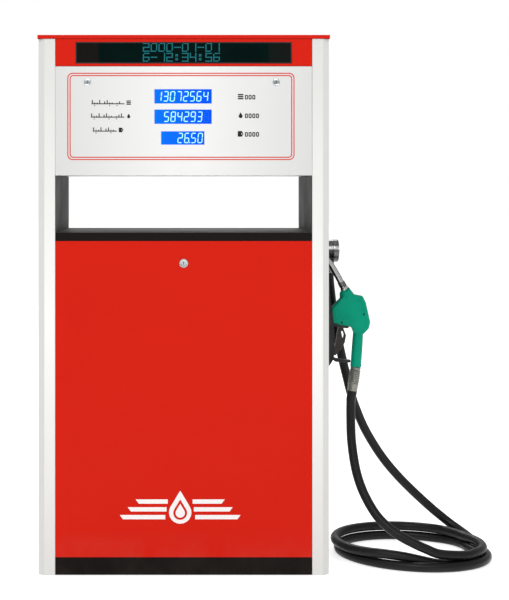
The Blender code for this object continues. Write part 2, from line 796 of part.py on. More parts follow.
def outlet_elbow():
    """The polished outlet drum on the side, its tail pipe indoors and its hose spigot below."""
    length = OUTLET_END - SIDE_FACE
    tail = 0.3998 - SIDE_FACE
    profile = [
        (0.0, length),
        (OUTLET_RADIUS - 0.004, length),
        (OUTLET_RADIUS, length - 0.003),
        (OUTLET_RADIUS, length - 0.014),
        (OUTLET_RADIUS - 0.001, length - 0.016),
        (OUTLET_RADIUS - 0.001, 0.006),
        (OUTLET_RADIUS + 0.0015, 0.005),
        (OUTLET_RADIUS + 0.0015, FIT),
        (OUTLET_PIPE_RADIUS, FIT),
        (OUTLET_PIPE_RADIUS, tail),
        (0.0, tail),
    ]
    start = Vector((SIDE_FACE, OUTLET_Y, OUTLET_Z))
    elbow = turned("outlet_elbow", profile, aimed(start, Vector((1, 0, 0))), 28)
    x, y, z = HOSE_EXIT
    spigot = [
        (0.0, OUTLET_Z - 0.010),
        (0.0175, OUTLET_Z - 0.010),
        (0.0175, z + 0.014),
        (0.0160, z + 0.011),
        (0.0160, z + FIT),
        (0.0, z + FIT),
    ]
    join(elbow, turned("spigot", spigot, Matrix.Translation((x, y, 0.0)), 18))
    finish(smooth(elbow), (0.55, 0.55, 0.55), 0.2, 1.0)


def ring_point(turn, outward, height):
    """A point on the hose's floor ring: turn in degrees, counter-clockwise from +X."""
    angle = math.radians(turn)
    x, y = RING_CENTRE
    return (
        x + (RING_HALF_X + outward) * math.cos(angle) - RING_LEAN * math.sin(angle),
        y + (RING_HALF_Y + outward) * math.sin(angle),
        height,
    )


def ramp(value, start, end):
    """0 before start and 1 after end, easing between."""
    t = min(1.0, max(0.0, (value - start) / (end - start)))
    return t * t * (3 - 2 * t)


def ring_turns():
    """Two turns lying on the floor, between the nozzle's run and the outlet's run.

    The lower turn lies on the floor. The upper turn lies on it, and slides down inside it towards
    the front right, where the nozzle's run arrives in the groove between the two.
    """
    floor = HOSE_RADIUS + 0.0002
    apart = 2 * HOSE_RADIUS + 0.0010
    points = []
    for turn in range(-62, 723, 14):
        if turn < 15:
            points.append(ring_point(turn, -apart / 2, floor + apart * 0.90))
        elif turn < 400:
            rolled = ramp(turn, 215, 285) * (1 - ramp(turn, 366, 400)) * math.pi / 2
            settled = ramp(turn, 366, 400)
            if settled > 0:
                points.append(ring_point(turn, -apart * (1 - settled), floor))
                continue
            first = ramp(turn, 15, 60)
            outward = 0.011 * math.sin(math.radians(turn) / 2) ** 2
            outward = outward * (1 - ramp(turn, 200, 240)) - apart / 2 * (1 - first)
            outward -= apart * math.sin(rolled)
            rise = math.sqrt(max(0.0, apart**2 - outward**2))
            points.append(ring_point(turn, outward, floor + rise))
        else:
            points.append(ring_point(turn, 0.0, floor))
    return points


def hose():
    """The whole delivery hose, from the nozzle's swivel down to the floor ring and up to the outlet."""
    end = Vector((HOSE_START[0], 0.0, HOSE_START[1]))
    along = (end - Vector((HANDLE_FOOT[0], 0.0, HANDLE_FOOT[1]))).normalized()
    nozzle_run = [
        *(tuple(end + reach * along) for reach in (FIT, 0.010, 0.024)),
        (0.5540, -0.005, 0.4785),
        (0.5537, -0.015, 0.4141),
        (0.5550, -0.025, 0.3764),
        (0.5596, -0.042, 0.3272),
        (0.5682, -0.060, 0.2787),
        (0.5836, -0.080, 0.2311),
        (0.6058, -0.103, 0.1870),
        (0.6297, -0.122, 0.1535),
        (0.6612, -0.140, 0.1250),
        (0.6960, -0.156, 0.1030),
        (0.7336, -0.168, 0.0850),
        (0.7748, -0.176, 0.0680),
        (0.8170, -0.177, 0.0530),
    ]
    outlet_run = [
        (0.9875, 0.068, 0.0175),
        (0.9761, 0.1105, 0.0255),
        (0.9533, 0.1470, 0.0390),
        (0.9210, 0.1740, 0.0590),
        (0.8886, 0.1860, 0.0838),
        (0.8557, 0.1890, 0.1111),
        (0.7948, 0.1850, 0.1673),
        (0.7385, 0.1760, 0.2249),
        (0.6904, 0.1650, 0.2826),
        (0.6512, 0.1530, 0.3405),
        (0.6184, 0.1400, 0.3980),
        (0.5931, 0.1280, 0.4550),
        (0.5714, 0.117, 0.5150),
        (0.5540, 0.107, 0.5800),
        (0.5400, 0.100, 0.6350),
        (0.5265, 0.094, 0.6950),
        (0.5150, 0.090, 0.7550),
        (0.5045, 0.089, 0.8200),
        (0.4970, 0.088, 0.8800),
        (0.4930, 0.088, 0.9250),
        (HOSE_EXIT[0], OUTLET_Y, HOSE_EXIT[2] - 0.0120),
        (HOSE_EXIT[0], OUTLET_Y, HOSE_EXIT[2]),
    ]
    route = bent_route([*nozzle_run, *ring_turns(), *outlet_run], HOSE_POINTS - 2)
    finish(smooth(tube("hose", route, HOSE_RADIUS, 3)), (0.012, 0.012, 0.012), 0.55)


# ---------------------------------------------------------------- nozzle
def nozzle_body():
    """The green-clad casting, slotted for the trigger and bored for its pin and the valve stem."""
    foot = Vector(HANDLE_FOOT)
    axis = (Vector(HOSE_START) - foot).normalized()
    across = Vector((-axis.y, axis.x)) * 0.0176
    right_foot, left_foot = foot + across, foot - across
    if right_foot.x < left_foot.x:
        right_foot, left_foot = left_foot, right_foot
    outline = [
        (0.5211, 0.8748),
        (0.5165, 0.8630),
        (0.4906, 0.8165),
        (0.4926, 0.7766),
        (0.5251, 0.7650),
        (0.5464, 0.7617),
        (0.5580, 0.7540),
        (0.5643, 0.7368),
        tuple(left_foot),
        tuple(right_foot),
        (0.5952, 0.7348),
        (0.6128, 0.7534),
        (0.6175, 0.7749),
        (0.6029, 0.8397),
        (0.5929, 0.8600),
        (0.5597, 0.8663),
        (0.5485, 0.8894),
    ]
    body = extrusion("nozzle_body", outline, 2 * NOZZLE_HALF_Y, matrix=facing_front(0.0))
    round_edges(body, 0.006, 2, 50)
    x, z = TRIGGER_PIVOT
    slot_half = TRIGGER_HALF_Y + 0.0018
    cut(body, box("slot", (0.508, 0.545), (-slot_half, slot_half), (0.750, 0.786)))
    pin_ends = ((x, -0.05, z), (x, 0.05, z))
    cut(body, rod("pin_hole", *pin_ends, PIN_RADIUS + PIN_CLEARANCE, 12))
    stem_ends = ((STEM_X, 0, 0.780), (STEM_X, 0, 0.826))
    cut(body, rod("stem_bore", *stem_ends, STEM_RADIUS + PIN_CLEARANCE, 12))
    finish(smooth(body, 50), GREEN, 0.35)


def spout():
    """The bent delivery tube, which leans into the boot."""
    path = [
        (0.5345, 0.0, 0.8826),
        (0.5148, 0.0, 0.9197),
        (0.4980, 0.0, 0.9490),
        (0.4852, 0.0, 0.9680),
        (0.4700, 0.0, 0.9845),
        (0.4505, 0.0, 0.9970),
        (0.4300, 0.0, 1.0040),
    ]
    pipe = tube("spout", smooth_curve(path, 14), SPOUT_RADIUS, 4)
    tip = Vector(path[-1])
    last_run = tip - Vector(path[-2])
    cut(pipe, rod("mouth", tip + 0.2 * last_run, tip - 1.5 * last_run, SPOUT_BORE, 12))
    finish(smooth(pipe), (0.55, 0.55, 0.55), 0.25, 1.0)


def circle(x, z, radius, count):
    steps = [2 * math.pi * n / count for n in range(count)]
    return [(x + radius * math.cos(step), z + radius * math.sin(step)) for step in steps]


def trigger():
    """The leaf-shaped lever, pierced, with its eye on the pivot pin."""
    x, z = TRIGGER_PIVOT
    eye_radius = 0.0065
    eye = circle(x, z, eye_radius, 8)[:5]
    outline = [
        *eye,
        (0.5125, 0.7570),
        (0.5085, 0.7350),
        (0.5045, 0.7050),
        (0.4965, 0.6720),
        (0.4985, 0.6635),
        (0.5035, 0.6630),
        (0.5200, 0.6820),
        (0.5345, 0.7060),
        (0.5385, 0.7300),
        (0.5300, 0.7520),
    ]
    gap = [
        (0.5215, 0.7440),
        (0.5185, 0.7320),
        (0.5195, 0.7210),
        (0.5240, 0.7175),
        (0.5290, 0.7210),
        (0.5315, 0.7310),
        (0.5285, 0.7430),
    ]
    hole = circle(x, z, PIN_RADIUS + PIN_CLEARANCE, 12)
    lever = extrusion("trigger_lever", outline, 2 * TRIGGER_HALF_Y, [gap, hole], facing_front(0.0))
    put_origin(lever, (x, 0.0, z))
    finish(lever, (0.20, 0.20, 0.20), 0.4, 0.7)
    pin = rod("trigger_pin", (x, -0.0185, z), (x, 0.0185, z), PIN_RADIUS, 12)
    finish(smooth(pin), (0.5, 0.5, 0.5), 0.3, 1.0)
    stem = rod("valve_stem", (STEM_X, 0, 0.7545), (STEM_X, 0, 0.8120), STEM_RADIUS, 12)
    put_origin(smooth(stem), (STEM_X, 0, 0.7545))
    finish(stem, (0.55, 0.45, 0.2), 0.3, 1.0)


def strap_outline(path, thicknesses):
    """The outline of a strap along a path of points, with its thickness at each."""
    points = [Vector(point) for point in path]
    left, right = [], []
    for n, point in enumerate(points):
        along = (points[min(n + 1, len(points) - 1)] - points[max(n - 1, 0)]).normalized()
        aside = Vector((-along.y, along.x)) * thicknesses[n] / 2
        left.append(tuple(point + aside))
        right.append(tuple(point - aside))
    return left + right[::-1]


def trigger_guard():
    """The bow round the trigger, from the body's lower corner to the handle's foot."""
    path = [
        (0.4950, 0.7725),
        (0.4905, 0.7450),
        (0.4878, 0.7100),
        (0.4882, 0.6760),
        (0.4925, 0.6560),
        (0.5040, 0.6480),
        (0.5300, 0.6448),
        (0.5530, 0.6440),
    ]
    thicknesses = (0.0045, 0.0050, 0.0060, 0.0080, 0.0100, 0.0110, 0.0095, 0.0075)
    outline = strap_outline(path, thicknesses)
    guard = extrusion("trigger_guard", outline, 0.024, matrix=facing_front(0.0))
    finish(guard, (0.015, 0.015, 0.015), 0.5)


def hose_swivel():
    """The ribbed swivel between the handle and the hose."""
    foot = Vector((HANDLE_FOOT[0], 0.0, HANDLE_FOOT[1]))
    end = Vector((HOSE_START[0], 0.0, HOSE_START[1]))
    along = end - foot
    length = along.length
    start = FIT + 0.0002
    ribs = [(0.0150, 0.0160), (0.0168, 0.0215), (0.0168, 0.0260), (0.0155, 0.0285)]
    ribs += [(0.0155, 0.0330), (0.0170, 0.0355), (0.0170, 0.0405), (0.0155, 0.0430)]
    outline = [(0.0, start), (0.0150, start), *ribs]
    outline += [(0.0160, 0.0520), (0.0160, 0.0700), (0.0150, length), (0.0, length)]
    profile = [(radius, length - reach) for radius, reach in outline]
    swivel = turned("hose_swivel", profile, aimed(end, -along), 20)
    put_origin(smooth(swivel), tuple(end))
    finish(swivel, (0.34, 0.34, 0.33), 0.35, 0.9)


# ---------------------------------------------------------------- assembly
base_frame()
plinths()
posts()
side_panels()
top_cap()
header()
opening_walls()
head_doors()
lower_doors()
computer_box()
motor()
pulley("motor_pulley", MOTOR_CENTRE, MOTOR_PULLEY_RADIUS, 0.010, -0.030)
pulley("pump_pulley", PUMP_CENTRE, PUMP_PULLEY_RADIUS, 0.012, -0.035)
drive_belt()
pump_body()
flow_meter()
pulser()
solenoid_valve()
pipes()
nozzle_boot()
boot_lever()
outlet_elbow()
hose()
nozzle_body()
spout()
trigger()
trigger_guard()
hose_swivel()
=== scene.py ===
"""The looks of a two-sided fuel dispenser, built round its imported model.

Metres, +Z up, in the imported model's frame: the front faces -Y and the hose hangs on the +X side.
What the front and the rear share is made once for the front and copied half round about Z.
"""

import json
import math

import bmesh
import bpy
from mathutils import Matrix, Vector
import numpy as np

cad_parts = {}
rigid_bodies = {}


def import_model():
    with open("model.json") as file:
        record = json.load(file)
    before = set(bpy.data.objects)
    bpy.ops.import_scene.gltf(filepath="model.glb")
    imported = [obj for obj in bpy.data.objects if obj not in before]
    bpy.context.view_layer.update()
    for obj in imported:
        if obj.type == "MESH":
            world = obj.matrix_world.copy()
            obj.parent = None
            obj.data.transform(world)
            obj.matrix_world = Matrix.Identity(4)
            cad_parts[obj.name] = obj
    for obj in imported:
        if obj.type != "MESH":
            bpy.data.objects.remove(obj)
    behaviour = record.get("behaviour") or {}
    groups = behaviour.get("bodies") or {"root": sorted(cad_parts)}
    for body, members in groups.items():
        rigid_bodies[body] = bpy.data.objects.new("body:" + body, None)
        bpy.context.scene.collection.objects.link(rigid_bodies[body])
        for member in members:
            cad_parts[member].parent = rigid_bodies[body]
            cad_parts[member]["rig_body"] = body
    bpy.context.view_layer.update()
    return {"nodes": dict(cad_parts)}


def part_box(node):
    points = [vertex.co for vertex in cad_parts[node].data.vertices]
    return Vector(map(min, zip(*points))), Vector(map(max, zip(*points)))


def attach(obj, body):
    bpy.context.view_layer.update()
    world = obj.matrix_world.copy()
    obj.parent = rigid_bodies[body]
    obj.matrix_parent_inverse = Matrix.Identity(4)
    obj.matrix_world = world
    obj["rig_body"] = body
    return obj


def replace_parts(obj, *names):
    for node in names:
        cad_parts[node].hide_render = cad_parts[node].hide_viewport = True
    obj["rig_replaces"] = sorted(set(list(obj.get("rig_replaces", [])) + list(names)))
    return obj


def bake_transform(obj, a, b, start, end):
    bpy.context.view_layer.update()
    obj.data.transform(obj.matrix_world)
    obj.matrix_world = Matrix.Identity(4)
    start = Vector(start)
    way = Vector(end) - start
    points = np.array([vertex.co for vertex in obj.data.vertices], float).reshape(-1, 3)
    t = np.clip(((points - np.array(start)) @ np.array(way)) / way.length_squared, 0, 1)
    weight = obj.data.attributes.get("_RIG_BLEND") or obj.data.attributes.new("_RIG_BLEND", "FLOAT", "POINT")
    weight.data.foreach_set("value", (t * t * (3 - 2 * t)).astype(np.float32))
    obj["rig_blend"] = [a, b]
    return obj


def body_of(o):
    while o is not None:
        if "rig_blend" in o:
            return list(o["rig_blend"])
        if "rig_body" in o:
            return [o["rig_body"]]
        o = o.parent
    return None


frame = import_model()
NODES = frame["nodes"]

# ---------------------------------------------------------------- places taken from the frame
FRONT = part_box("head_door_front")[0].y
SHEET = 0.0015
HALF_TURN = Matrix.Rotation(math.pi, 4, "Z")
PRINT = 0.00025  # how far printed marks stand off the paint
HEAD_LOCKS = (("left", -0.303), ("right", 0.291))
HEAD_LOCK_Z = 1.551
DOOR_LOCK_Z = 0.982
MOTOR_X, MOTOR_Z = -0.23, 0.165
MOTOR_FEET_Y = 0.0355
PUMP_X, PUMP_FACE_Y, PUMP_Z = 0.06, -0.06, 0.3
METER = Vector((0.2, 0.02, 0.55))

HOSE_RADIUS = 0.015
RING_CENTRE = (0.757, -0.003)
RING_HALF_X = 0.236
RING_HALF_Y = 0.19
RING_LEAN = 0.04  # how far the ring's front is pushed towards +X
OUTLET_Y = 0.088
OUTLET_Z = 1.0095
DRUM_Z = 1.006  # the outlet drum's middle, a little under its pipe's
SIDE_FACE = 0.4565
HOSE_EXIT = (0.492, OUTLET_Y, 0.955)
HANDLE_TOP = Vector((0.5812, 0.0, 0.768))
HANDLE_FOOT = Vector((0.5715, 0.0, 0.6255))
HOSE_START = Vector((0.559, 0.0, 0.5395))
NOZZLE_AXIS = (HOSE_START - HANDLE_FOOT).normalized()
TRIGGER_PIN = (0.5225, 0.7735)


# ---------------------------------------------------------------- matrices and outlines
def move(x, y, z):
    return Matrix.Translation((x, y, z))


def aimed(start, along):
    """Puts local Z along a direction, from a start point."""
    return Matrix.Translation(start) @ Vector(along).to_track_quat("Z", "Y").to_matrix().to_4x4()


def facing_front(y, x=0.0, z=0.0):
    """Puts a drawing made in X and Y upright at depth y, its thickness towards the viewer."""
    return move(x, y, z) @ Matrix.Rotation(math.pi / 2, 4, "X")


def arc(x, y, radius, start, end, steps):
    """Points from start to end degrees round a centre."""
    turns = [math.radians(start + (end - start) * n / steps) for n in range(steps + 1)]
    return [(x + radius * math.cos(t), y + radius * math.sin(t)) for t in turns]


def circle(radius, steps=32, x=0.0, y=0.0):
    return arc(x, y, radius, 0, 360, steps)[:-1]


def rounded(x0, x1, y0, y1, radius, steps=6):
    """A rectangle with round corners, counter-clockwise."""
    points = []
    for x, y, start in ((x1, y1, 0), (x0, y1, 90), (x0, y0, 180), (x1, y0, 270)):
        cx = x - radius if x == x1 else x + radius
        cy = y - radius if y == y1 else y + radius
        points += arc(cx, cy, radius, start, start + 90, steps)
    return points


def smooth_curve(points, count):
    """count evenly spaced points on a Catmull-Rom curve through all of the points."""
    route = [Vector(point) for point in points]
    route = [2 * route[0] - route[1], *route, 2 * route[-1] - route[-2]]
    steps = 24
    fine = []
    for n in range(1, len(route) - 2):
        before, start, end, after = route[n - 1 : n + 3]
        for step in range(steps):
            t = step / steps
            bend = 2 * before - 5 * start + 4 * end - after
            twist = 3 * (start - end) + after - before
            fine.append(start + 0.5 * t * (end - before + t * (bend + t * twist)))
    fine.append(route[-2])
    reach = [0.0]
    for one, two in zip(fine, fine[1:]):
        reach.append(reach[-1] + (two - one).length)
    even = []
    place = 0
    for n in range(count):
        target = reach[-1] * n / (count - 1)
        while place < len(fine) - 2 and reach[place + 1] < target:
            place += 1
        span = reach[place + 1] - reach[place]
        even.append(fine[place].lerp(fine[place + 1], (target - reach[place]) / span))
    return even


# ---------------------------------------------------------------- building meshes
def placed(name, data):
    """A new object with this data, in the scene."""
    thing = bpy.data.objects.new(name, data)
    bpy.context.scene.collection.objects.link(thing)
    return thing


def evaluated(thing):
    """A new mesh of an object with its modifiers applied, free of materials."""
    bpy.context.view_layer.update()
    graph = bpy.context.evaluated_depsgraph_get()
    mesh = bpy.data.meshes.new_from_object(thing.evaluated_get(graph))
    mesh.materials.clear()
    return mesh


class Build:
    """Collects the closed shapes of one piece. part is the index of the material they take."""

    def __init__(self):
        self.mesh = bmesh.new()
        self.around = self.mesh.loops.layers.uv.new("UVMap")

    def _mark(self, first, part, matrix=None):
        """Gives the faces from first on their material, and moves them."""
        self.mesh.faces.ensure_lookup_table()
        new = self.mesh.faces[first:]
        for face in new:
            face.material_index = part
        if matrix:
            verts = {vert for face in new for vert in face.verts}
            bmesh.ops.transform(self.mesh, matrix=matrix, verts=list(verts))
        return self

    def add(self, mesh, matrix=None, part=0):
        first = len(self.mesh.faces)
        self.mesh.from_mesh(mesh)
        bpy.data.meshes.remove(mesh)
        return self._mark(first, part, matrix)

    def box(self, x, y, z, matrix=None, part=0):
        first = len(self.mesh.faces)
        size = Matrix.Diagonal((x[1] - x[0], y[1] - y[0], z[1] - z[0], 1.0))
        place = move(sum(x) / 2, sum(y) / 2, sum(z) / 2) @ size
        bmesh.ops.create_cube(self.mesh, size=1.0, matrix=(matrix or Matrix.Identity(4)) @ place)
        return self._mark(first, part)

    def rings(self, rings, part=0, closed=False):
        """Skins a list of rings of points. A closed list joins its last ring to its first."""
        first = len(self.mesh.faces)
        loops = [[self.mesh.verts.new(point) for point in ring] for ring in rings]
        pairs = list(zip(loops, loops[1:]))
        if closed:
            pairs.append((loops[-1], loops[0]))
        count = len(loops[0])
        reach = 0.0
        for one, two in pairs:
            step = (two[0].co - one[0].co).length
            for n in range(count):
                after = (n + 1) % count
                face = self.mesh.faces.new((one[n], one[after], two[after], two[n]))
                spots = ((reach, n), (reach, n + 1), (reach + step, n + 1), (reach + step, n))
                for corner, (u, v) in zip(face.loops, spots):
                    corner[self.around].uv = (u, v / count)
            reach += step
        if not closed:
            self.mesh.faces.new(loops[0][::-1])
            self.mesh.faces.new(loops[-1])
        return self._mark(first, part)

    def turned(self, profile, matrix=None, steps=48, part=0, closed=False):
        """A profile of (radius, height), from low to high along its outer side, about local Z."""
        matrix = matrix or Matrix.Identity(4)
        turns = [2 * math.pi * n / steps for n in range(steps)]
        rings = []
        for radius, height in profile:
            radius = max(radius, 0.00002)
            ring = [Vector((radius * math.cos(t), radius * math.sin(t), height)) for t in turns]
            rings.append([matrix @ point for point in ring])
        return self.rings(rings, part, closed)

    def rod(self, start, end, radius, steps=24, part=0):
        along = Vector(end) - Vector(start)
        return self.turned([(radius, 0.0), (radius, along.length)], aimed(start, along), steps, part)

    def tube(self, points, radius, sides=20, bore=0.0, depth=0.0, part=0):
        """A round bar along points. With a bore, its far end is hollow to that depth."""
        points = [Vector(point) for point in points]
        sections = []
        side = None
        for n, point in enumerate(points):
            after, before = points[min(n + 1, len(points) - 1)], points[max(n - 1, 0)]
            along = (after - before).normalized()
            side = along.orthogonal() if side is None else side
            side = (side - side.dot(along) * along).normalized()
            sections.append((point, side, along.cross(side), radius))
        if bore:
            back = 0.0
            inner = [(*sections[-1][:3], bore)]
            for near, far in zip(sections[::-1], sections[-2::-1]):
                back += (near[0] - far[0]).length
                if back > depth:
                    break
                inner.append((*far[:3], bore))
            sections += inner
        turns = [2 * math.pi * n / sides for n in range(sides)]
        rings = []
        for centre, u, v, size in sections:
            rings.append([centre + size * (math.cos(t) * u + math.sin(t) * v) for t in turns])
        return self.rings(rings, part)

    def plate(self, outline, depth, matrix=None, holes=(), edge=0.0, part=0):
        """A flat outline with holes, depth thick about its plane, its edges rounded by edge."""
        curve = bpy.data.curves.new("plate", "CURVE")
        curve.dimensions = "2D"
        curve.fill_mode = "BOTH"
        curve.extrude = depth / 2 - edge
        curve.bevel_depth = edge
        curve.bevel_resolution = 2
        curve.offset = -edge
        for points in (outline, *holes):
            loop = curve.splines.new("POLY")
            loop.points.add(len(points) - 1)
            for spot, (x, y) in zip(loop.points, points):
                spot.co = (x, y, 0.0, 1.0)
            loop.use_cyclic_u = True
        holder = placed("plate", curve)
        mesh = evaluated(holder)
        bpy.data.objects.remove(holder)
        bpy.data.curves.remove(curve)
        shape = bmesh.new()
        shape.from_mesh(mesh)
        bmesh.ops.remove_doubles(shape, verts=shape.verts, dist=0.000005)
        bmesh.ops.recalc_face_normals(shape, faces=shape.faces)
        shape.to_mesh(mesh)
        shape.free()
        return self.add(mesh, matrix, part)

    def bolt(self, start, along, size, part=0):
        """A hexagon head on a washer, standing on a point, size across its corners."""
        place = aimed(start, along)
        self.turned([(size * 0.72, 0.0), (size * 0.72, size * 0.1)], place, 20, part)
        head = [(size * 0.5, size * 0.1), (size * 0.5, size * 0.42), (size * 0.42, size * 0.5)]
        return self.turned(head, place, 6, part)

    def finished(self, name):
        """The shapes as a new mesh. Nothing more can be added."""
        mesh = bpy.data.meshes.new(name)
        self.mesh.to_mesh(mesh)
        self.mesh.free()
        return mesh


def smooth_piece(name, build, finishes, angle):
    """Turns a Build into an object, smooth but for edges sharper than an angle."""
    mesh = build.finished(name)
    piece = placed(name, mesh)
    for made in finishes:
        mesh.materials.append(made.material)
    mesh.shade_smooth()
    mesh.set_sharp_from_angle(angle=math.radians(angle))
    return piece


def show(name, build, finishes, body, edge=0.0, replaces=(), angle=35):
    """Turns a Build into a piece that rides on a body."""
    several = finishes if isinstance(finishes, list) else [finishes]
    piece = smooth_piece(name, build, several, angle)
    if edge:
        soften(piece, edge)
    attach(piece, body)
    if replaces:
        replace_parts(piece, *replaces)
    return piece


def soften(piece, edge, angle=30, segments=2):
    """Rounds the edges that turn more than an angle."""
    bevel = piece.modifiers.new("edge", "BEVEL")
    bevel.width = edge
    bevel.segments = segments
    bevel.limit_method = "ANGLE"
    bevel.angle_limit = math.radians(angle)
    bevel.harden_normals = True


def rear_copy(piece, *replaces):
    """The same piece half round about Z, on the rear bodies."""
    twin = piece.copy()
    twin.name = piece.name.replace("front", "rear")
    bpy.context.scene.collection.objects.link(twin)
    body = body_of(piece)[0].replace("front", "rear")
    twin.parent = None
    twin.matrix_world = HALF_TURN @ piece.matrix_world
    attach(twin, body)
    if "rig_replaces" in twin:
        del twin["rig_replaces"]
    if replaces:
        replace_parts(twin, *replaces)
    return twin


# ---------------------------------------------------------------- materials
class Finish:
    """A procedural material. Its patterns lie in the object's own coordinates."""

    def __init__(self, name, colour, roughness, metallic=0.0, specular=0.5):
        self.material = bpy.data.materials.new(name)
        self.material.use_nodes = True
        self.tree = self.material.node_tree
        self.shader = self.tree.nodes["Principled BSDF"]
        self.colour = (*colour, 1.0)
        self.normal = None
        self.shader.inputs["Base Color"].default_value = self.colour
        self.shader.inputs["Roughness"].default_value = roughness
        self.shader.inputs["Metallic"].default_value = metallic
        self.shader.inputs["Specular IOR Level"].default_value = specular
        self.material.diffuse_color = self.colour
        self.places = self.node("ShaderNodeTexCoord").outputs["Object"]

    def node(self, kind, **settings):
        made = self.tree.nodes.new(kind)
        for key, value in settings.items():
            setattr(made, key, value)
        return made

    def link(self, source, socket):
        """Joins an output to a socket, or gives the socket a plain value."""
        if isinstance(source, bpy.types.NodeSocket):
            self.tree.links.new(source, socket)
        else:
            socket.default_value = source

    def noise(self, scale, detail=3.0, roughness=0.55):
        made = self.node("ShaderNodeTexNoise")
        self.link(self.places, made.inputs["Vector"])
        made.inputs["Scale"].default_value = scale
        made.inputs["Detail"].default_value = detail
        made.inputs["Roughness"].default_value = roughness
        return made.outputs["Fac"]

    def cells(self, scale, output="Distance"):
        made = self.node("ShaderNodeTexVoronoi")
        self.link(self.places, made.inputs["Vector"])
        made.inputs["Scale"].default_value = scale
        return made.outputs[output]

    def along(self, axis, source=None):
        """The coordinate along an axis, of the object's places or of another vector."""
        made = self.node("ShaderNodeSeparateXYZ")
        self.link(source or self.places, made.inputs[0])
        return made.outputs[axis]

    def away(self, axis, middle=0.0):
        """The distance from a middle place along an axis."""
        offset = self.node("ShaderNodeMath", operation="SUBTRACT")
        offset.inputs[1].default_value = middle
        self.link(self.along(axis), offset.inputs[0])
        size = self.node("ShaderNodeMath", operation="ABSOLUTE")
        self.link(offset.outputs[0], size.inputs[0])
        return size.outputs[0]

    def flat_normal(self):
        return self.node("ShaderNodeNewGeometry").outputs["Normal"]

    def remap(self, value, low, high, to_low=0.0, to_high=1.0):
        made = self.node("ShaderNodeMapRange")
        self.link(value, made.inputs["Value"])
        for socket, number in zip(made.inputs[1:5], (low, high, to_low, to_high)):
            socket.default_value = number
        return made.outputs[0]

    def times(self, one, two):
        made = self.node("ShaderNodeMath", operation="MULTIPLY")
        self.link(one, made.inputs[0])
        self.link(two, made.inputs[1])
        return made.outputs[0]

    def tint(self, factor, colour):
        """Mixes the base colour towards another where factor is high."""
        made = self.node("ShaderNodeMix", data_type="RGBA")
        self.link(factor, made.inputs[0])
        self.link(self.colour, made.inputs[6])
        made.inputs[7].default_value = (*colour, 1.0)
        self.colour = made.outputs[2]
        self.link(self.colour, self.shader.inputs["Base Color"])
        return self

    def vary(self, scale, colour, amount):
        """Cloudy patches of another colour."""
        return self.tint(self.remap(self.noise(scale), 0.42, 0.68, 0.0, amount), colour)

    def stain(self, colour, amount, low, high, *grain):
        """Blotches of another colour, where noise of that grain lies between low and high."""
        return self.tint(self.remap(self.noise(*grain), low, high, 0.0, amount), colour)

    def rough(self, scale, low, high):
        """Uneven gloss, between two roughnesses."""
        self.link(self.remap(self.noise(scale), 0.35, 0.68, low, high), self.shader.inputs["Roughness"])
        return self

    def bump(self, height, distance, strength=1.0):
        made = self.node("ShaderNodeBump")
        made.inputs["Distance"].default_value = distance
        made.inputs["Strength"].default_value = strength
        self.link(height, made.inputs["Height"])
        if self.normal:
            self.link(self.normal, made.inputs["Normal"])
        self.normal = made.outputs[0]
        self.link(self.normal, self.shader.inputs["Normal"])
        return self

    def edges(self, colour, radius=0.0012, amount=0.6):
        """Wear and a painted highlight where the surface turns sharply, broken up by noise."""
        turned = self.node("ShaderNodeBevel", samples=4)
        turned.inputs["Radius"].default_value = radius
        dot = self.node("ShaderNodeVectorMath", operation="DOT_PRODUCT")
        self.link(turned.outputs[0], dot.inputs[0])
        self.link(self.flat_normal(), dot.inputs[1])
        sharp = self.remap(dot.outputs["Value"], 0.985, 0.9)
        broken = self.remap(self.noise(90.0, 4.0), 0.42, 0.6, 0.15, 1.0)
        return self.tint(self.times(self.times(sharp, broken), amount), colour)

    def facing_up(self, colour, amount):
        """Another colour on upward faces."""
        return self.tint(self.remap(self.along("Z", self.flat_normal()), 0.5, 0.9, 0.0, amount), colour)

    def facing_side(self, colour, amount):
        """Painted shade: another colour on faces turned away from the front and the rear, such as a chamfer."""
        sideways = self.along("X", self.flat_normal())
        return self.tint(self.remap(self.times(sideways, sideways), 0.06, 0.2, 0.0, amount), colour)

    def fading(self, axis, near, far, colour, middle=0.0):
        """Another colour away from a middle place along an axis."""
        return self.tint(self.remap(self.away(axis, middle), near, far), colour)

    def glow(self, colour, strength):
        self.shader.inputs["Emission Color"].default_value = (*colour, 1.0)
        self.shader.inputs["Emission Strength"].default_value = strength
        return self


def paint(name, colour, deeper, roughness, specular, edge_wear_and_highlight, amount=0.35, dust=0.12):
    """Sprayed powder coat: faint mottling, orange peel, dust low down and rubbed edges with a painted highlight.
    """
    made = Finish(name, colour, roughness, specular=specular)
    made.vary(2.2, deeper, 0.55)
    made.vary(38.0, deeper, 0.16)
    made.rough(6.0, roughness - 0.05, roughness + 0.09)
    low_down = made.remap(made.along("Z"), 0.14, 0.0, 0.0, dust)
    made.tint(made.times(low_down, made.remap(made.noise(14.0, 5.0), 0.35, 0.75)), (0.3, 0.27, 0.23))
    made.edges(edge_wear_and_highlight, amount=amount)
    made.bump(made.noise(420.0, 2.0), 0.00012, 0.35)
    return made


def metal(name, colour, darker, roughness, edge_wear_and_highlight=(0.85, 0.85, 0.85)):
    """Bare metal: fine cloudy grain, uneven polish and bright edges, partly wear and partly a painted highlight.
    """
    made = Finish(name, colour, roughness, metallic=1.0)
    made.vary(9.0, darker, 0.6)
    made.vary(160.0, darker, 0.35)
    made.rough(60.0, roughness - 0.06, roughness + 0.12)
    made.bump(made.noise(500.0, 3.0), 0.00008, 0.5)
    made.edges(edge_wear_and_highlight, radius=0.0008, amount=0.5)
    return made


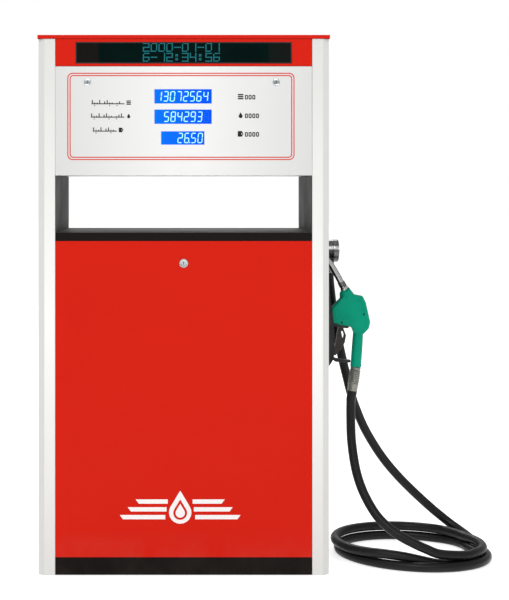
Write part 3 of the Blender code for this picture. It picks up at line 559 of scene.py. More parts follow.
def cast(name, colour, darker, metallic=0.35):
    """Painted or bare castings: grainy, with oily stains and rubbed edges with a painted highlight."""
    made = Finish(name, colour, 0.55, metallic=metallic, specular=0.4)
    made.vary(16.0, darker, 0.8)
    made.stain((0.035, 0.028, 0.022), 0.7, 0.58, 0.72, 34.0, 6.0)
    made.rough(24.0, 0.38, 0.68)
    made.edges((0.45, 0.44, 0.42), radius=0.0016, amount=0.55)
    made.bump(made.noise(320.0, 4.0), 0.0004, 0.7)
    return made


def plastic(name, colour, lighter, roughness, grain=650.0):
    """Moulded plastic or rubber with a leathery grain and paler edges, partly wear and partly a painted
    highlight.
    """
    made = Finish(name, colour, roughness, specular=0.3)
    made.vary(11.0, lighter, 0.5)
    made.rough(30.0, roughness - 0.08, roughness + 0.12)
    made.edges(lighter, amount=0.5)
    made.bump(made.cells(grain), 0.00018, 0.35)
    return made


def hose_rubber():
    """Cloth-wrapped rubber: a fine helical wrap and chalky scuffs."""
    made = Finish("hose_rubber", (0.0045, 0.0045, 0.0047), 0.4, specular=0.24)
    made.vary(7.0, (0.009, 0.0088, 0.0085), 0.8)
    made.stain((0.055, 0.053, 0.05), 0.55, 0.6, 0.8, 55.0, 7.0, 0.7)
    made.rough(26.0, 0.28, 0.5)
    uv = made.node("ShaderNodeTexCoord").outputs["UV"]
    wrap = made.node("ShaderNodeTexWave", wave_type="BANDS", bands_direction="DIAGONAL")
    stretched = made.node("ShaderNodeVectorMath", operation="MULTIPLY")
    made.link(uv, stretched.inputs[0])
    stretched.inputs[1].default_value = (620.0, 24.0, 1.0)
    made.link(stretched.outputs[0], wrap.inputs["Vector"])
    wrap.inputs["Scale"].default_value = 0.35
    made.bump(wrap.outputs["Fac"], 0.00016, 0.55)
    made.bump(made.noise(700.0, 3.0), 0.00014, 0.5)
    return made


def blue_screen():
    """A backlit number screen, brighter towards its left, behind a fine grid of cells."""
    made = Finish("blue_screen", (0.0, 0.125, 0.75), 0.22, specular=0.05)
    made.tint(made.remap(made.along("X"), -0.09, 0.09), (0.0, 0.05, 0.7))
    made.vary(60.0, (0.0, 0.13, 0.95), 0.25)
    made.rough(40.0, 0.15, 0.3)
    made.bump(made.cells(900.0), 0.00005, 0.2)
    made.link(made.colour, made.shader.inputs["Emission Color"])
    made.shader.inputs["Emission Strength"].default_value = 0.55
    return made


def header_glass():
    """Dark glass whose middle shows the green-black face of the display behind it."""
    made = Finish("header_glass", (0.0085, 0.007, 0.0062), 0.12, specular=0.03)
    made.tint(made.remap(made.away("X"), 0.27, 0.266), (0.0008, 0.006, 0.0052))
    made.vary(5.0, (0.001, 0.012, 0.01), 0.5)
    made.rough(18.0, 0.08, 0.2)
    made.bump(made.noise(90.0, 2.0), 0.00004, 0.2)
    return made


def green_vinyl():
    """Dipped soft vinyl: slightly uneven gloss, handling grime in its lows and pale rubbed edges with a painted
    highlight.
    """
    made = Finish("green_vinyl", (0.001, 0.285, 0.172), 0.4, specular=0.07)
    made.vary(18.0, (0.0006, 0.24, 0.145), 0.7)
    made.vary(120.0, (0.003, 0.34, 0.215), 0.25)
    made.stain((0.01, 0.075, 0.055), 0.4, 0.63, 0.78, 46.0, 7.0, 0.68)
    made.edges((0.06, 0.44, 0.34), radius=0.002, amount=0.35)
    made.rough(30.0, 0.3, 0.5)
    made.bump(made.noise(130.0, 4.0), 0.00035, 0.35)
    made.bump(made.noise(900.0, 2.0), 0.0001, 0.4)
    return made


def circuit_board():
    """Green board with a faint grid of tracks."""
    made = Finish("circuit_board", (0.006, 0.105, 0.035), 0.4, specular=0.45)
    tracks = made.node("ShaderNodeTexBrick")
    turned = made.node("ShaderNodeMapping")
    made.link(made.places, turned.inputs["Vector"])
    turned.inputs["Rotation"].default_value = (math.pi / 2, 0.0, 0.0)
    made.link(turned.outputs[0], tracks.inputs["Vector"])
    tracks.inputs["Scale"].default_value = 60.0
    tracks.inputs["Mortar Size"].default_value = 0.012
    made.tint(made.times(tracks.outputs["Fac"], 0.7), (0.05, 0.24, 0.08))
    made.vary(25.0, (0.004, 0.075, 0.028), 0.6)
    made.rough(50.0, 0.3, 0.55)
    made.bump(tracks.outputs["Fac"], 0.0001, 0.4)
    return made


def galvanised():
    """Zinc-coated steel with its spangle."""
    made = Finish("galvanised", (0.5, 0.51, 0.51), 0.42, metallic=0.9)
    grey = made.node("ShaderNodeSeparateColor")
    made.link(made.cells(85.0, "Color"), grey.inputs[0])
    made.tint(made.times(grey.outputs[0], 0.6), (0.33, 0.34, 0.35))
    made.rough(40.0, 0.32, 0.55)
    made.bump(made.noise(260.0, 3.0), 0.0001, 0.4)
    # Worn edges with a painted highlight.
    made.edges((0.7, 0.7, 0.7), amount=0.4)
    return made


def lit_marks(name, colour, light, strength):
    """Lit marks on a screen, a little uneven from cell to cell."""
    made = Finish(name, colour, 0.35, specular=0.2)
    made.vary(140.0, tuple(0.82 * part for part in colour), 0.6)
    made.rough(80.0, 0.28, 0.45)
    made.bump(made.noise(900.0, 2.0), 0.00005, 0.3)
    return made.glow(light, strength)


WHITE = paint("white_paint", (0.855, 0.858, 0.842), (0.825, 0.829, 0.812), 0.36, 0.25, (0.95, 0.95, 0.94))
# Painted shade: the white paint darkens away from z 0.8, towards the top and the bottom.
WHITE.fading("Z", 0.05, 0.87, (0.66, 0.665, 0.645), middle=0.8)
# Painted shade: faces turned to the sides, such as the posts' chamfers and the side panels, are darker.
WHITE.facing_side((0.63, 0.635, 0.62), 0.95)
HEAD_WHITE = paint("head_paint", (0.785, 0.786, 0.782), (0.765, 0.767, 0.762), 0.36, 0.25, (0.92, 0.92, 0.91))
# Painted sheen and shade: the head doors are brightest in the middle and darker towards their sides.
HEAD_WHITE.fading("X", 0.05, 0.4, (0.635, 0.645, 0.632))
RED = paint("red_paint", (0.6, 0.014, 0.0054), (0.57, 0.0125, 0.0048), 0.42, 0.05, (0.8, 0.1, 0.07))
BLACK = paint(
    "black_paint", (0.006, 0.0044, 0.0036), (0.008, 0.0064, 0.0055), 0.45, 0.06, (0.1, 0.1, 0.095),
    dust=0.03,
)
CHEEK = paint("cheek_grey", (0.062, 0.062, 0.056), (0.053, 0.053, 0.049), 0.5, 0.08, (0.17, 0.17, 0.16))
SHELF = paint("shelf_paint", (0.008, 0.0062, 0.0052), (0.011, 0.009, 0.008), 0.46, 0.06, (0.12, 0.12, 0.11))
SHELF.facing_up((0.095, 0.092, 0.086), 0.95)
RED_PRINT = paint("red_print", (0.62, 0.03, 0.02), (0.66, 0.06, 0.05), 0.45, 0.2, (0.72, 0.2, 0.18), 0.2)
WHITE_PRINT = paint("white_print", (0.86, 0.86, 0.85), (0.8, 0.8, 0.79), 0.45, 0.25, (0.9, 0.9, 0.9), 0.2)
DARK_PRINT = paint("dark_print", (0.01, 0.01, 0.01), (0.02, 0.02, 0.02), 0.5, 0.2, (0.1, 0.1, 0.1), 0.2)
GLASS = header_glass()
SCREEN = blue_screen()
DIGIT = lit_marks("lit_digit", (0.4, 0.8, 0.95), (0.4, 0.84, 1.0), 0.36)
GHOST = lit_marks("unlit_digit", (0.0, 0.075, 0.62), (0.0, 0.085, 0.7), 0.3)
TEAL = lit_marks("teal_dot", (0.004, 0.1, 0.12), (0.006, 0.2, 0.22), 0.42)
BOARD = circuit_board()
CHIP = plastic("chip_plastic", (0.01, 0.01, 0.011), (0.03, 0.03, 0.032), 0.45)
LOCK = metal("plated_lock", (0.6, 0.65, 0.66), (0.38, 0.43, 0.44), 0.16)
KEYHOLE = plastic("keyhole_black", (0.006, 0.006, 0.006), (0.015, 0.015, 0.015), 0.55)
STEEL = metal("machined_steel", (0.42, 0.42, 0.41), (0.28, 0.28, 0.28), 0.34)
TRIGGER = metal("trigger_steel", (0.045, 0.042, 0.041), (0.022, 0.021, 0.021), 0.34, edge_wear_and_highlight=(0.62, 0.62, 0.61))
SWIVEL = metal("swivel_metal", (0.29, 0.285, 0.262), (0.13, 0.13, 0.122), 0.26, edge_wear_and_highlight=(0.74, 0.74, 0.73))
# A painted highlight: the drum's metal is bright only in a band round it at z 1.017, dark above and below.
DRUM = metal("drum_metal", (0.82, 0.82, 0.84), (0.6, 0.6, 0.62), 0.2)
DRUM.fading("Z", 0.0035, 0.0085, (0.13, 0.13, 0.135), middle=1.017)
SPOUT = metal("spout_metal", (0.52, 0.52, 0.51), (0.34, 0.34, 0.34), 0.16)
BRASS = metal("brass", (0.62, 0.44, 0.16), (0.42, 0.29, 0.1), 0.3, edge_wear_and_highlight=(0.85, 0.7, 0.38))
ZINC = galvanised()
MOTOR = cast("motor_paint", (0.03, 0.07, 0.13), (0.022, 0.05, 0.095), 0.1)
CASTING = cast("pump_casting", (0.26, 0.27, 0.27), (0.18, 0.185, 0.19), 0.6)
PLASTIC = plastic("black_plastic", (0.01, 0.01, 0.01), (0.03, 0.029, 0.028), 0.52)
BELT = plastic("belt_rubber", (0.012, 0.012, 0.012), (0.032, 0.031, 0.03), 0.72, 420.0)
RUBBER = hose_rubber()
VINYL = green_vinyl()


# ---------------------------------------------------------------- camera, light and floor
def camera():
    data = bpy.data.cameras.new("camera")
    data.lens = 76.32
    data.shift_x = 0.118
    data.shift_y = -0.19
    eye = placed("camera", data)
    eye.location = (0.0, -4.225, 1.225)
    eye.rotation_euler = (math.pi / 2, 0.0, 0.0)
    bpy.context.scene.camera = eye


def softbox(name, place, target, width, height, power):
    data = bpy.data.lights.new(name, "AREA")
    data.shape = "RECTANGLE"
    data.size = width
    data.size_y = height
    data.energy = power
    lamp = placed(name, data)
    lamp.location = place
    aim = Vector(target) - Vector(place)
    lamp.rotation_euler = aim.to_track_quat("-Z", "Y").to_euler()


def studio():
    """A white room, brighter to the eye than the light that it gives, with five soft boxes."""
    scene = bpy.context.scene
    scene.view_settings.view_transform = "Standard"
    world = bpy.data.worlds.new("studio")
    scene.world = world
    world.use_nodes = True
    tree = world.node_tree
    room = tree.nodes["Background"]
    seen = tree.nodes.new("ShaderNodeBackground")
    for white, strength in ((room, 0.54), (seen, 1.0)):
        white.inputs["Color"].default_value = (1.0, 1.0, 1.0, 1.0)
        white.inputs["Strength"].default_value = strength
    path = tree.nodes.new("ShaderNodeLightPath")
    mix = tree.nodes.new("ShaderNodeMixShader")
    tree.links.new(path.outputs["Is Camera Ray"], mix.inputs[0])
    tree.links.new(room.outputs[0], mix.inputs[1])
    tree.links.new(seen.outputs[0], mix.inputs[2])
    tree.links.new(mix.outputs[0], tree.nodes["World Output"].inputs["Surface"])
    middle = (0.15, 0.0, 0.85)
    boxes = (
        ("front_box", (-0.3, -5.0, 4.6), 3.4, 1.6, 104.0),
        ("right_box", (4.6, -3.4, 2.4), 1.2, 2.6, 10.0),
        ("left_box", (-4.8, -2.6, 2.4), 1.2, 2.6, 8.0),
        ("rear_box", (0.3, 5.0, 4.6), 3.4, 1.6, 98.0),
        ("top_box", (0.2, 0.0, 4.6), 3.2, 3.2, 15.0),
    )
    for name, place, width, height, power in boxes:
        softbox(name, place, middle, width, height, power)


def floor():
    shape = bmesh.new()
    bmesh.ops.create_grid(shape, x_segments=1, y_segments=1, size=40.0)
    mesh = bpy.data.meshes.new("floor")
    shape.to_mesh(mesh)
    shape.free()
    ground = placed("floor", mesh)
    pale = Finish("floor_pale", (0.88, 0.88, 0.87), 0.75, specular=0.1).glow((1.0, 1.0, 1.0), 0.62)
    mesh.materials.append(pale.material)


# ---------------------------------------------------------------- hose
def ring_point(turn, outward, height):
    """A point on the hose's floor ring: turn in degrees, counter-clockwise from +X."""
    angle = math.radians(turn)
    x, y = RING_CENTRE
    return (
        x + (RING_HALF_X + outward) * math.cos(angle) - RING_LEAN * math.sin(angle),
        y + (RING_HALF_Y + outward) * math.sin(angle),
        height,
    )


def ramp(value, start, end):
    """0 before start and 1 after end, easing between."""
    t = min(1.0, max(0.0, (value - start) / (end - start)))
    return t * t * (3 - 2 * t)


def ring_turns():
    """Two turns lying on the floor, the upper one sliding down inside the lower at the front right."""
    floor_height = HOSE_RADIUS + 0.0002
    apart = 2 * HOSE_RADIUS + 0.001
    points = []
    for turn in range(-62, 723, 14):
        if turn < 15:
            points.append(ring_point(turn, -apart / 2, floor_height + apart * 0.9))
        elif turn <= 366:
            rolled = ramp(turn, 215, 285) * math.pi / 2
            outward = 0.011 * math.sin(math.radians(turn) / 2) ** 2
            outward = outward * (1 - ramp(turn, 200, 240)) - apart / 2 * (1 - ramp(turn, 15, 60))
            outward -= apart * math.sin(rolled)
            rise = math.sqrt(max(0.0, apart**2 - outward**2))
            points.append(ring_point(turn, outward, floor_height + rise))
        else:
            points.append(ring_point(turn, -apart * (1 - ramp(turn, 366, 400)), floor_height))
    return points


def hose_route():
    """The hose's centreline, from the nozzle's swivel to the outlet."""
    nozzle_run = [
        *(tuple(HOSE_START + reach * NOZZLE_AXIS) for reach in (0.0003, 0.01, 0.024)),
        (0.554, -0.005, 0.4785),
        (0.5537, -0.015, 0.4141),
        (0.555, -0.025, 0.3764),
        (0.5596, -0.042, 0.3272),
        (0.5682, -0.06, 0.2787),
        (0.5836, -0.08, 0.2311),
        (0.6058, -0.103, 0.187),
        (0.6297, -0.122, 0.1535),
        (0.6612, -0.14, 0.125),
        (0.696, -0.156, 0.103),
        (0.7336, -0.168, 0.085),
        (0.7748, -0.176, 0.068),
        (0.817, -0.177, 0.053),
    ]
    outlet_run = [
        (0.9875, 0.068, 0.0175),
        (0.9761, 0.1105, 0.0255),
        (0.9533, 0.147, 0.039),
        (0.921, 0.174, 0.059),
        (0.8886, 0.186, 0.0838),
        (0.8557, 0.189, 0.1111),
        (0.7948, 0.185, 0.1673),
        (0.7385, 0.176, 0.2249),
        (0.6904, 0.165, 0.2826),
        (0.6512, 0.153, 0.3405),
        (0.6184, 0.14, 0.398),
        (0.5931, 0.128, 0.455),
        (0.5714, 0.117, 0.515),
        (0.554, 0.107, 0.58),
        (0.54, 0.1, 0.635),
        (0.5265, 0.094, 0.695),
        (0.515, 0.09, 0.755),
        (0.5045, 0.089, 0.82),
        (0.497, 0.088, 0.88),
        (0.493, 0.088, 0.925),
        (HOSE_EXIT[0], OUTLET_Y, HOSE_EXIT[2] - 0.012),
        (HOSE_EXIT[0], OUTLET_Y, HOSE_EXIT[2]),
    ]
    points = [*nozzle_run, *ring_turns(), *outlet_run]
    return [Vector(points[0]), *smooth_curve(points[1:-1], 520), Vector(points[-1])]


def crimped_ferrule():
    """The metal collar crimped on the hose's end under the outlet."""
    inner = HOSE_RADIUS - 0.001
    low, high = inner + 0.0018, inner + 0.0026
    profile = [(inner, -0.024), (low, -0.024), (high, -0.022)]
    for level in (-0.018, -0.012, -0.006):
        profile += [(high, level - 0.0018), (low, level - 0.001)]
        profile += [(low, level + 0.001), (high, level + 0.0018)]
    profile += [(inner + 0.0028, -0.0005), (inner, -0.0005)]
    x, y, z = HOSE_EXIT
    collar = Build().turned(profile, move(x, y, z + 0.0002), 40, closed=True)
    return show("hose_ferrule", collar, SWIVEL, "cabinet")


def bend_sleeve():
    """The rubber sleeve where the hose meets the swivel. It bends as the nozzle is lifted."""
    inner = HOSE_RADIUS - 0.0008
    outline = [
        (inner, -0.03), (inner + 0.001, -0.03), (inner + 0.0014, -0.024), (inner + 0.0017, -0.002),
        (inner + 0.002, 0.006), (inner + 0.0014, 0.008), (inner, 0.008),
    ]
    profile = [outline[0]]
    for one, two in zip(outline, outline[1:]):
        parts = max(1, round(abs(two[1] - one[1]) / 0.002))
        for n in range(1, parts + 1):
            profile.append(tuple(a + (b - a) * n / parts for a, b in zip(one, two)))
    sleeve = Build().turned(profile, aimed(HOSE_START, -NOZZLE_AXIS), 40, closed=True)
    piece = smooth_piece("hose_sleeve", sleeve, [RUBBER], 50)
    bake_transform(piece, "cabinet", "nozzle", HOSE_START + 0.02 * NOZZLE_AXIS, HOSE_START - 0.004 * NOZZLE_AXIS)
    return piece


def hose():
    """The delivery hose, from the outlet to the nozzle, with its ferrule and its sleeve."""
    route = hose_route()[::-1]
    build = Build().tube(route, HOSE_RADIUS, 28)
    piece = show("delivery_hose", build, RUBBER, "cabinet", replaces=["hose"])
    crimped_ferrule()
    bend_sleeve()


# ---------------------------------------------------------------- cabinet sheet metal
def dress(finish, edge, *names, segments=2):
    """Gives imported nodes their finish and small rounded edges."""
    for name in names:
        node = NODES[name]
        node.data.materials.clear()
        node.data.materials.append(finish.material)
        for face in node.data.polygons:
            face.use_smooth = True
        if "custom_normal" in node.data.attributes:
            node.data.attributes.remove(node.data.attributes["custom_normal"])
        weld = node.modifiers.new("weld", "WELD")
        weld.merge_threshold = 0.00001
        flat = node.modifiers.new("flat", "DECIMATE")
        flat.decimate_type = "DISSOLVE"
        flat.angle_limit = math.radians(0.5)
        soften(node, edge, 25, segments)


def both(name):
    """The front and the rear node of a name."""
    return name + "_front", name + "_rear"


def cabinet():
    posts = [f"post_{end}_{side}" for end in ("front", "rear") for side in ("left", "right")]
    dress(WHITE, 0.0009, *posts, "side_panel_left", "side_panel_right")
    dress(HEAD_WHITE, 0.0009, *both("head_door"))
    dress(RED, 0.0008, "top_cap", *both("header_band"), *both("lower_door"))
    dress(BLACK, 0.0007, "base_frame", *both("plinth"))
    dress(SHELF, 0.0008, "shelf_tray")
    dress(CHEEK, 0.0005, "cheek_left", "cheek_right")
    dress(ZINC, 0.0005, "head_floor", "inlet_pipe", "meter_pipe", "riser_pipe")
    dress(GLASS, 0.0006, *both("header_window"))
    dress(BOARD, 0.0002, *both("display_board"))
    dress(PLASTIC, 0.0008, "nozzle_boot")
    dress(STEEL, 0.0005, "boot_switch_lever", "motor_pulley", "pump_pulley", "pulser", "trigger_pin")
    dress(BELT, 0.001, "drive_belt")
    dress(CASTING, 0.0016, "pump_body", "flow_meter")
    dress(BRASS, 0.0008, "solenoid_valve", "valve_stem")
    dress(TRIGGER, 0.0014, "trigger_lever", segments=3)
    dress(PLASTIC, 0.0011, "trigger_guard", segments=3)


def screw_head(build, start, along, radius):
    """A domed screw head."""
    dome = [(1.0, 0.0), (1.0, 0.25), (0.8, 0.5), (0.4, 0.62)]
    build.turned([(radius * x, radius * z) for x, z in dome], aimed(start, along), 20)


def cabinet_fittings():
    """Louvres over the side vents, the side panels' screws and the anchor bolts."""
    low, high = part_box("side_panel_right")
    hood_ends = ((-0.087, 0.2), (-0.083, 0.85), (-0.078, 1.0), (0.078, 1.0), (0.083, 0.85), (0.087, 0.2))
    for side, sign in (("left", -1), ("right", 1)):
        hoods = Build()
        for n in range(5):
            level = 0.146 + n * 0.022
            section = [
                (0.0002, level + 0.0015), (0.0002, level - 0.0065), (0.003, level - 0.0065),
                (0.0034, level - 0.0058), (0.0022, level - 0.001), (0.001, level + 0.0012),
            ]
            rings = []
            for y, share in hood_ends:
                ring = [Vector((sign * (SIDE_FACE + x * share), y, z)) for x, z in section]
                rings.append(ring if sign < 0 else ring[::-1])
            hoods.rings(rings)
        show(f"vent_louvres_{side}", hoods, WHITE, "cabinet")
        screws = Build()
        for y in (-0.15, 0.15):
            for n in range(5):
                z = low.z + 0.06 + n * (high.z - low.z - 0.12) / 4
                screw_head(screws, (sign * SIDE_FACE, y, z), (sign, 0, 0), 0.0042)
        show(f"panel_screws_{side}", screws, STEEL, "cabinet")
    anchors = Build()
    for x in (-0.378, 0.378):
        for y in (-0.18, 0.18):
            anchors.turned([(0.0075, 0.004), (0.0075, 0.068), (0.0068, 0.07)], move(x, y, 0.0), 20)
            anchors.bolt((x, y, 0.05), (0, 0, 1), 0.026)
    show("anchor_bolts", anchors, ZINC, "cabinet")


def door_insides():
    """Folded stiffeners behind the lower panel, seen when it is tilted out."""
    low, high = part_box("lower_door_front")
    ribs = Build()
    hat = [
        (-0.03, 0.0), (-0.03, SHEET), (-0.014, SHEET), (-0.014, 0.01),
        (0.014, 0.01), (0.014, SHEET), (0.03, SHEET), (0.03, 0.0),
    ]
    for x in (-0.23, 0.23):
        ribs.plate(hat, high.z - low.z - 0.08, move(x, FRONT + SHEET + 0.0002, (low.z + high.z) / 2))
    rear_copy(show("door_ribs_front", ribs, RED, "lower_door_front", 0.0005))


# ---------------------------------------------------------------- marks and screens
def display_frame():
    """The printed double red line round the display area."""
    lines = Build()
    for inset in (0.0, 0.0072):
        outer = rounded(-0.366 + inset, 0.3485 - inset, 1.3065 + inset, 1.581 - inset, 0.0165 - inset * 0.7)
        x0, x1, z0, z1 = -0.3627 + inset, 0.3452 - inset, 1.3098 + inset, 1.5777 - inset
        inner = rounded(x0, x1, z0, z1, 0.0134 - inset * 0.7)
        lines.plate(outer, PRINT, facing_front(FRONT - PRINT / 2), [inner])
    rear_copy(show("display_frame_front", lines, RED_PRINT, "head_door_front"))


def drop(x, y, height, steps=14):
    """A fuel drop, point up, centred on x, its round bottom at y."""
    radius = height * 0.34
    centre = y + radius
    points = arc(x, centre, radius, -210, 30, steps)
    return [*points, (x, y + height)]


def coins(build, x, y, size, place):
    """Three coins in a pile."""
    for n in range(3):
        level = y + size * (0.15 + 0.35 * n)
        outline = rounded(x - size / 2, x + size / 2, level - size * 0.12, level + size * 0.12, size * 0.11)
        build.plate(outline, PRINT, place)


def fuel_drop(build, x, y, size, place):
    build.plate(drop(x, y, size), PRINT, place)


def tag(build, x, y, size, place):
    """A price tag with its eye."""
    half = size / 2
    shoulder = x + half * 0.4
    outline = [(x - half, y), (shoulder, y), (x + half, y + half), (shoulder, y + size), (x - half, y + size)]
    build.plate(outline, PRINT, place, [circle(size * 0.11, 12, x + half * 0.42, y + half)])


def filler(build, start, count, base, place):
    """A row of blank round-cornered shapes, where a label's letters would be."""
    width, height, stroke = 0.0094, 0.0145, 0.0031
    for n in range(count):
        x = start + n * 0.0116
        outline = rounded(x, x + width, base, base + height, 0.003, 3)
        hole = rounded(x + stroke, x + width - stroke, base + stroke, base + height - stroke, 0.0012, 3)
        build.plate(outline, PRINT, place, [hole])


def filler_script(build, start, end, base, place):
    """A joined line of blank strokes and dots, where a second label would be."""
    heights = (0.0135, 0.006, 0.006, 0.014, 0.005, 0.0095)
    build.plate(rounded(start, end, base, base + 0.003, 0.0012, 2), PRINT, place)
    count = int((end - start - 0.003) / 0.0078)
    for n in range(count):
        x = start + 0.001 + n * 0.0078
        if n % 5 == 4:
            continue
        build.plate(rounded(x, x + 0.0031, base + 0.001, base + heights[n % 6], 0.0012, 2), PRINT, place)
        if n % 3 == 1:
            build.plate(circle(0.0018, 10, x + 0.0015, base - 0.004), PRINT, place)


def display_marks():
    """A pictogram and blank filler on each side of each number, in place of words."""
    marks = Build()
    place = facing_front(FRONT - PRINT / 2)
    size = 0.018
    rows = (
        (coins, 1.497, 3, 1.482, -0.29, -0.186),
        (fuel_drop, 1.4385, 4, 1.44, -0.292, -0.186),
        (tag, 1.38, 4, 1.396, -0.286, -0.21),
    )
    for drawing, right_base, letters, left_base, left_start, end in rows:
        drawing(marks, 0.179, right_base, size, place)
        filler(marks, 0.1925, letters, right_base, place)
        filler_script(marks, left_start, end, left_base, place)
        drawing(marks, end + 0.013, left_base - 0.002, size * 0.8, place)
    rear_copy(show("display_marks_front", marks, DARK_PRINT, "head_door_front"))


SEGMENTS = {
    "0": "abcdef", "1": "bc", "2": "abged", "3": "abgcd", "4": "fgbc",
    "5": "afgcd", "6": "afgedc", "7": "abc", "8": "abcdefg", "9": "abcdfg", "-": "g", ":": "",
}


def segment_bars(width, height, stroke):
    """The seven bars of a digit, as (start, end) of each bar's middle line."""
    x0, x1 = stroke / 2, width - stroke / 2
    y0, y1, y2 = stroke / 2, height / 2, height - stroke / 2
    return {
        "a": ((x0, y2), (x1, y2)), "b": ((x1, y2), (x1, y1)), "c": ((x1, y1), (x1, y0)),
        "d": ((x0, y0), (x1, y0)), "e": ((x0, y1), (x0, y0)), "f": ((x0, y2), (x0, y1)),
        "g": ((x0, y1), (x1, y1)),
    }


def digit(build, lit, x, y, place, size, stroke, part=0, depth=PRINT):
    """The named bars of a seven-bar digit, mitred and leaning slightly."""
    lean = 0.09
    half = stroke / 2
    bars = segment_bars(*size, stroke)
    for name in lit:
        start, end = (Vector(point) for point in bars[name])
        along = (end - start).normalized()
        across = Vector((-along.y, along.x)) * half
        start, end = start + along * stroke * 0.12, end - along * stroke * 0.12
        points = [
            start, start + along * half - across, end - along * half - across,
            end, end - along * half + across, start + along * half + across,
        ]
        build.plate([(x + p.x + lean * p.y, y + p.y) for p in points], depth, place, part=part)


def number_screens():
    """The three backlit screens of each display, with their lit and unlit bars."""
    size, stroke, pitch = (0.016, 0.0325), 0.003, 0.0209
    rows = (("sale", "13072564", 0, 0.0116), ("volume", "584293", 1, 0.0096), ("price", "2650", 0, 0.0062))
    for title, digits, blanks, margin in rows:
        low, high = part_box(f"{title}_display_front")
        glass = Build()
        outline = rounded(low.x, high.x, low.z, high.z, 0.0008, 2)
        glass.plate(outline, high.y - low.y, facing_front((low.y + high.y) / 2))
        panel = show(
            f"{title}_screen_front", glass, SCREEN, "head_door_front", 0.0005,
            replaces=[f"{title}_display_front"],
        )
        rear_copy(panel, f"{title}_display_rear")
        bars = Build()
        place = facing_front(low.y - PRINT * 0.4)
        base = (low.z + high.z) / 2 - size[1] / 2
        right = high.x - margin - size[0]
        for n in range(int((high.x - low.x - 0.008) // pitch)):
            shown = n - blanks
            lit = SEGMENTS[digits[-1 - shown]] if 0 <= shown < len(digits) else ""
            unlit = [bar for bar in "abcdefg" if bar not in lit]
            digit(bars, lit, right - n * pitch, base, place, size, stroke)
            digit(bars, unlit, right - n * pitch, base, place, size, stroke, 1, PRINT * 0.5)
        if title == "price":
            bars.plate(circle(0.0018, 12, right - pitch - 0.0026, base + 0.0018), PRINT, place)
        rear_copy(show(f"{title}_digits_front", bars, [DIGIT, GHOST], "head_door_front"))


def header_digits():
    """Two lines of dot-matrix figures behind the dark header glass."""
    low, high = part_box("header_window_front")
    dots = Build()
    face = low.y - PRINT * 0.3
    across, up, half = 0.0043, 0.00405, 0.0017
    lines = (("2000-01-01", 1.6612), ("6-12:34:56", 1.63))
    grid = {
        "a": [(c, 6) for c in range(5)], "g": [(c, 3) for c in range(5)], "d": [(c, 0) for c in range(5)],
        "b": [(4, r) for r in range(3, 7)], "f": [(0, r) for r in range(3, 7)],
        "c": [(4, r) for r in range(4)], "e": [(0, r) for r in range(4)],
    }
    for text, middle in lines:
        for n, character in enumerate(text):
            spots = {spot for bar in SEGMENTS[character] for spot in grid[bar]}
            if character == ":":
                spots = {(column, row) for column in (1, 2) for row in (1, 2, 4, 5)}
            if character in "0689":
                spots -= {(0, 6), (4, 0)}
            for column, row in sorted(spots):
                x = -0.1268 + n * 0.0246 + column * across
                z = middle + (row - 3) * up
                dots.box((x - half, x + half), (face, face + PRINT), (z - half, z + half))
    rear_copy(show("header_digits_front", dots, TEAL, "cabinet"))
    gasket = Build()
    outer = rounded(low.x, high.x, low.z, high.z, 0.002, 3)
    hole = rounded(low.x + 0.0035, high.x - 0.0035, low.z + 0.003, high.z - 0.003, 0.001, 3)
    gasket.plate(outer, 0.0006, facing_front(low.y - 0.00025), [hole])
    rear_copy(show("window_gasket_front", gasket, PLASTIC, "cabinet"))


def board_parts():
    """Chips, capacitors, connectors and pillars on the inner side of the display board."""
    low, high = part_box("display_board_front")
    back = high.y
    parts = Build()
    for z in (1.376, 1.443, 1.507):
        for n in range(4):
            x = -0.105 + n * 0.058
            parts.box((x - 0.016, x + 0.016), (back, back + 0.0032), (z - 0.006, z + 0.006), part=0)
            for leg in range(7):
                lx = x - 0.0138 + leg * 0.0046
                for side in (-1, 1):
                    z0 = z + side * 0.006
                    spans = sorted((z0, z0 + side * 0.0022))
                    parts.box((lx - 0.0007, lx + 0.0007), (back, back + 0.0012), spans, part=1)
    for n in range(6):
        x = -0.12 + n * 0.03
        parts.rod((x, back, 1.409), (x, back + 0.011, 1.409), 0.0042, 20, part=0)
        parts.rod((x, back + 0.011, 1.409), (x, back + 0.0114, 1.409), 0.0038, 20, part=1)
    for x in (-0.06, 0.06):
        parts.box((x - 0.024, x + 0.024), (back, back + 0.009), (1.521, 1.531), part=2)
    for x in (low.x + 0.007, high.x - 0.007):
        for z in (low.z + 0.007, high.z - 0.007):
            parts.bolt((x, back, z), (0, 1, 0), 0.008, 1)
    finishes = [CHIP, STEEL, WHITE_PRINT]
    rear_copy(show("board_parts_front", parts, finishes, "head_door_front", 0.0003))


def door_mark():
    """A white drop between tapering bars, low on the panel."""
    mark = Build()
    place = facing_front(FRONT - PRINT / 2)
    x, z, height = -0.011, 0.163, 0.104
    inner = drop(x, z + 0.012, height * 0.62)
    mark.plate(drop(x, z, height), PRINT, place, [inner])
    mark.plate(drop(x, z + 0.019, height * 0.42), PRINT, place)
    for n, reach in enumerate((0.19, 0.165, 0.14)):
        level = z + 0.014 + n * 0.0245
        for side in (-1, 1):
            near, far = x + side * (0.047 - n * 0.004), x + side * reach
            bar = [(near, level), (far - side * 0.01, level), (far, level + 0.0135), (near, level + 0.0135)]
            mark.plate(bar if side > 0 else bar[::-1], PRINT, place)
    rear_copy(show("door_mark_front", mark, WHITE_PRINT, "lower_door_front"))


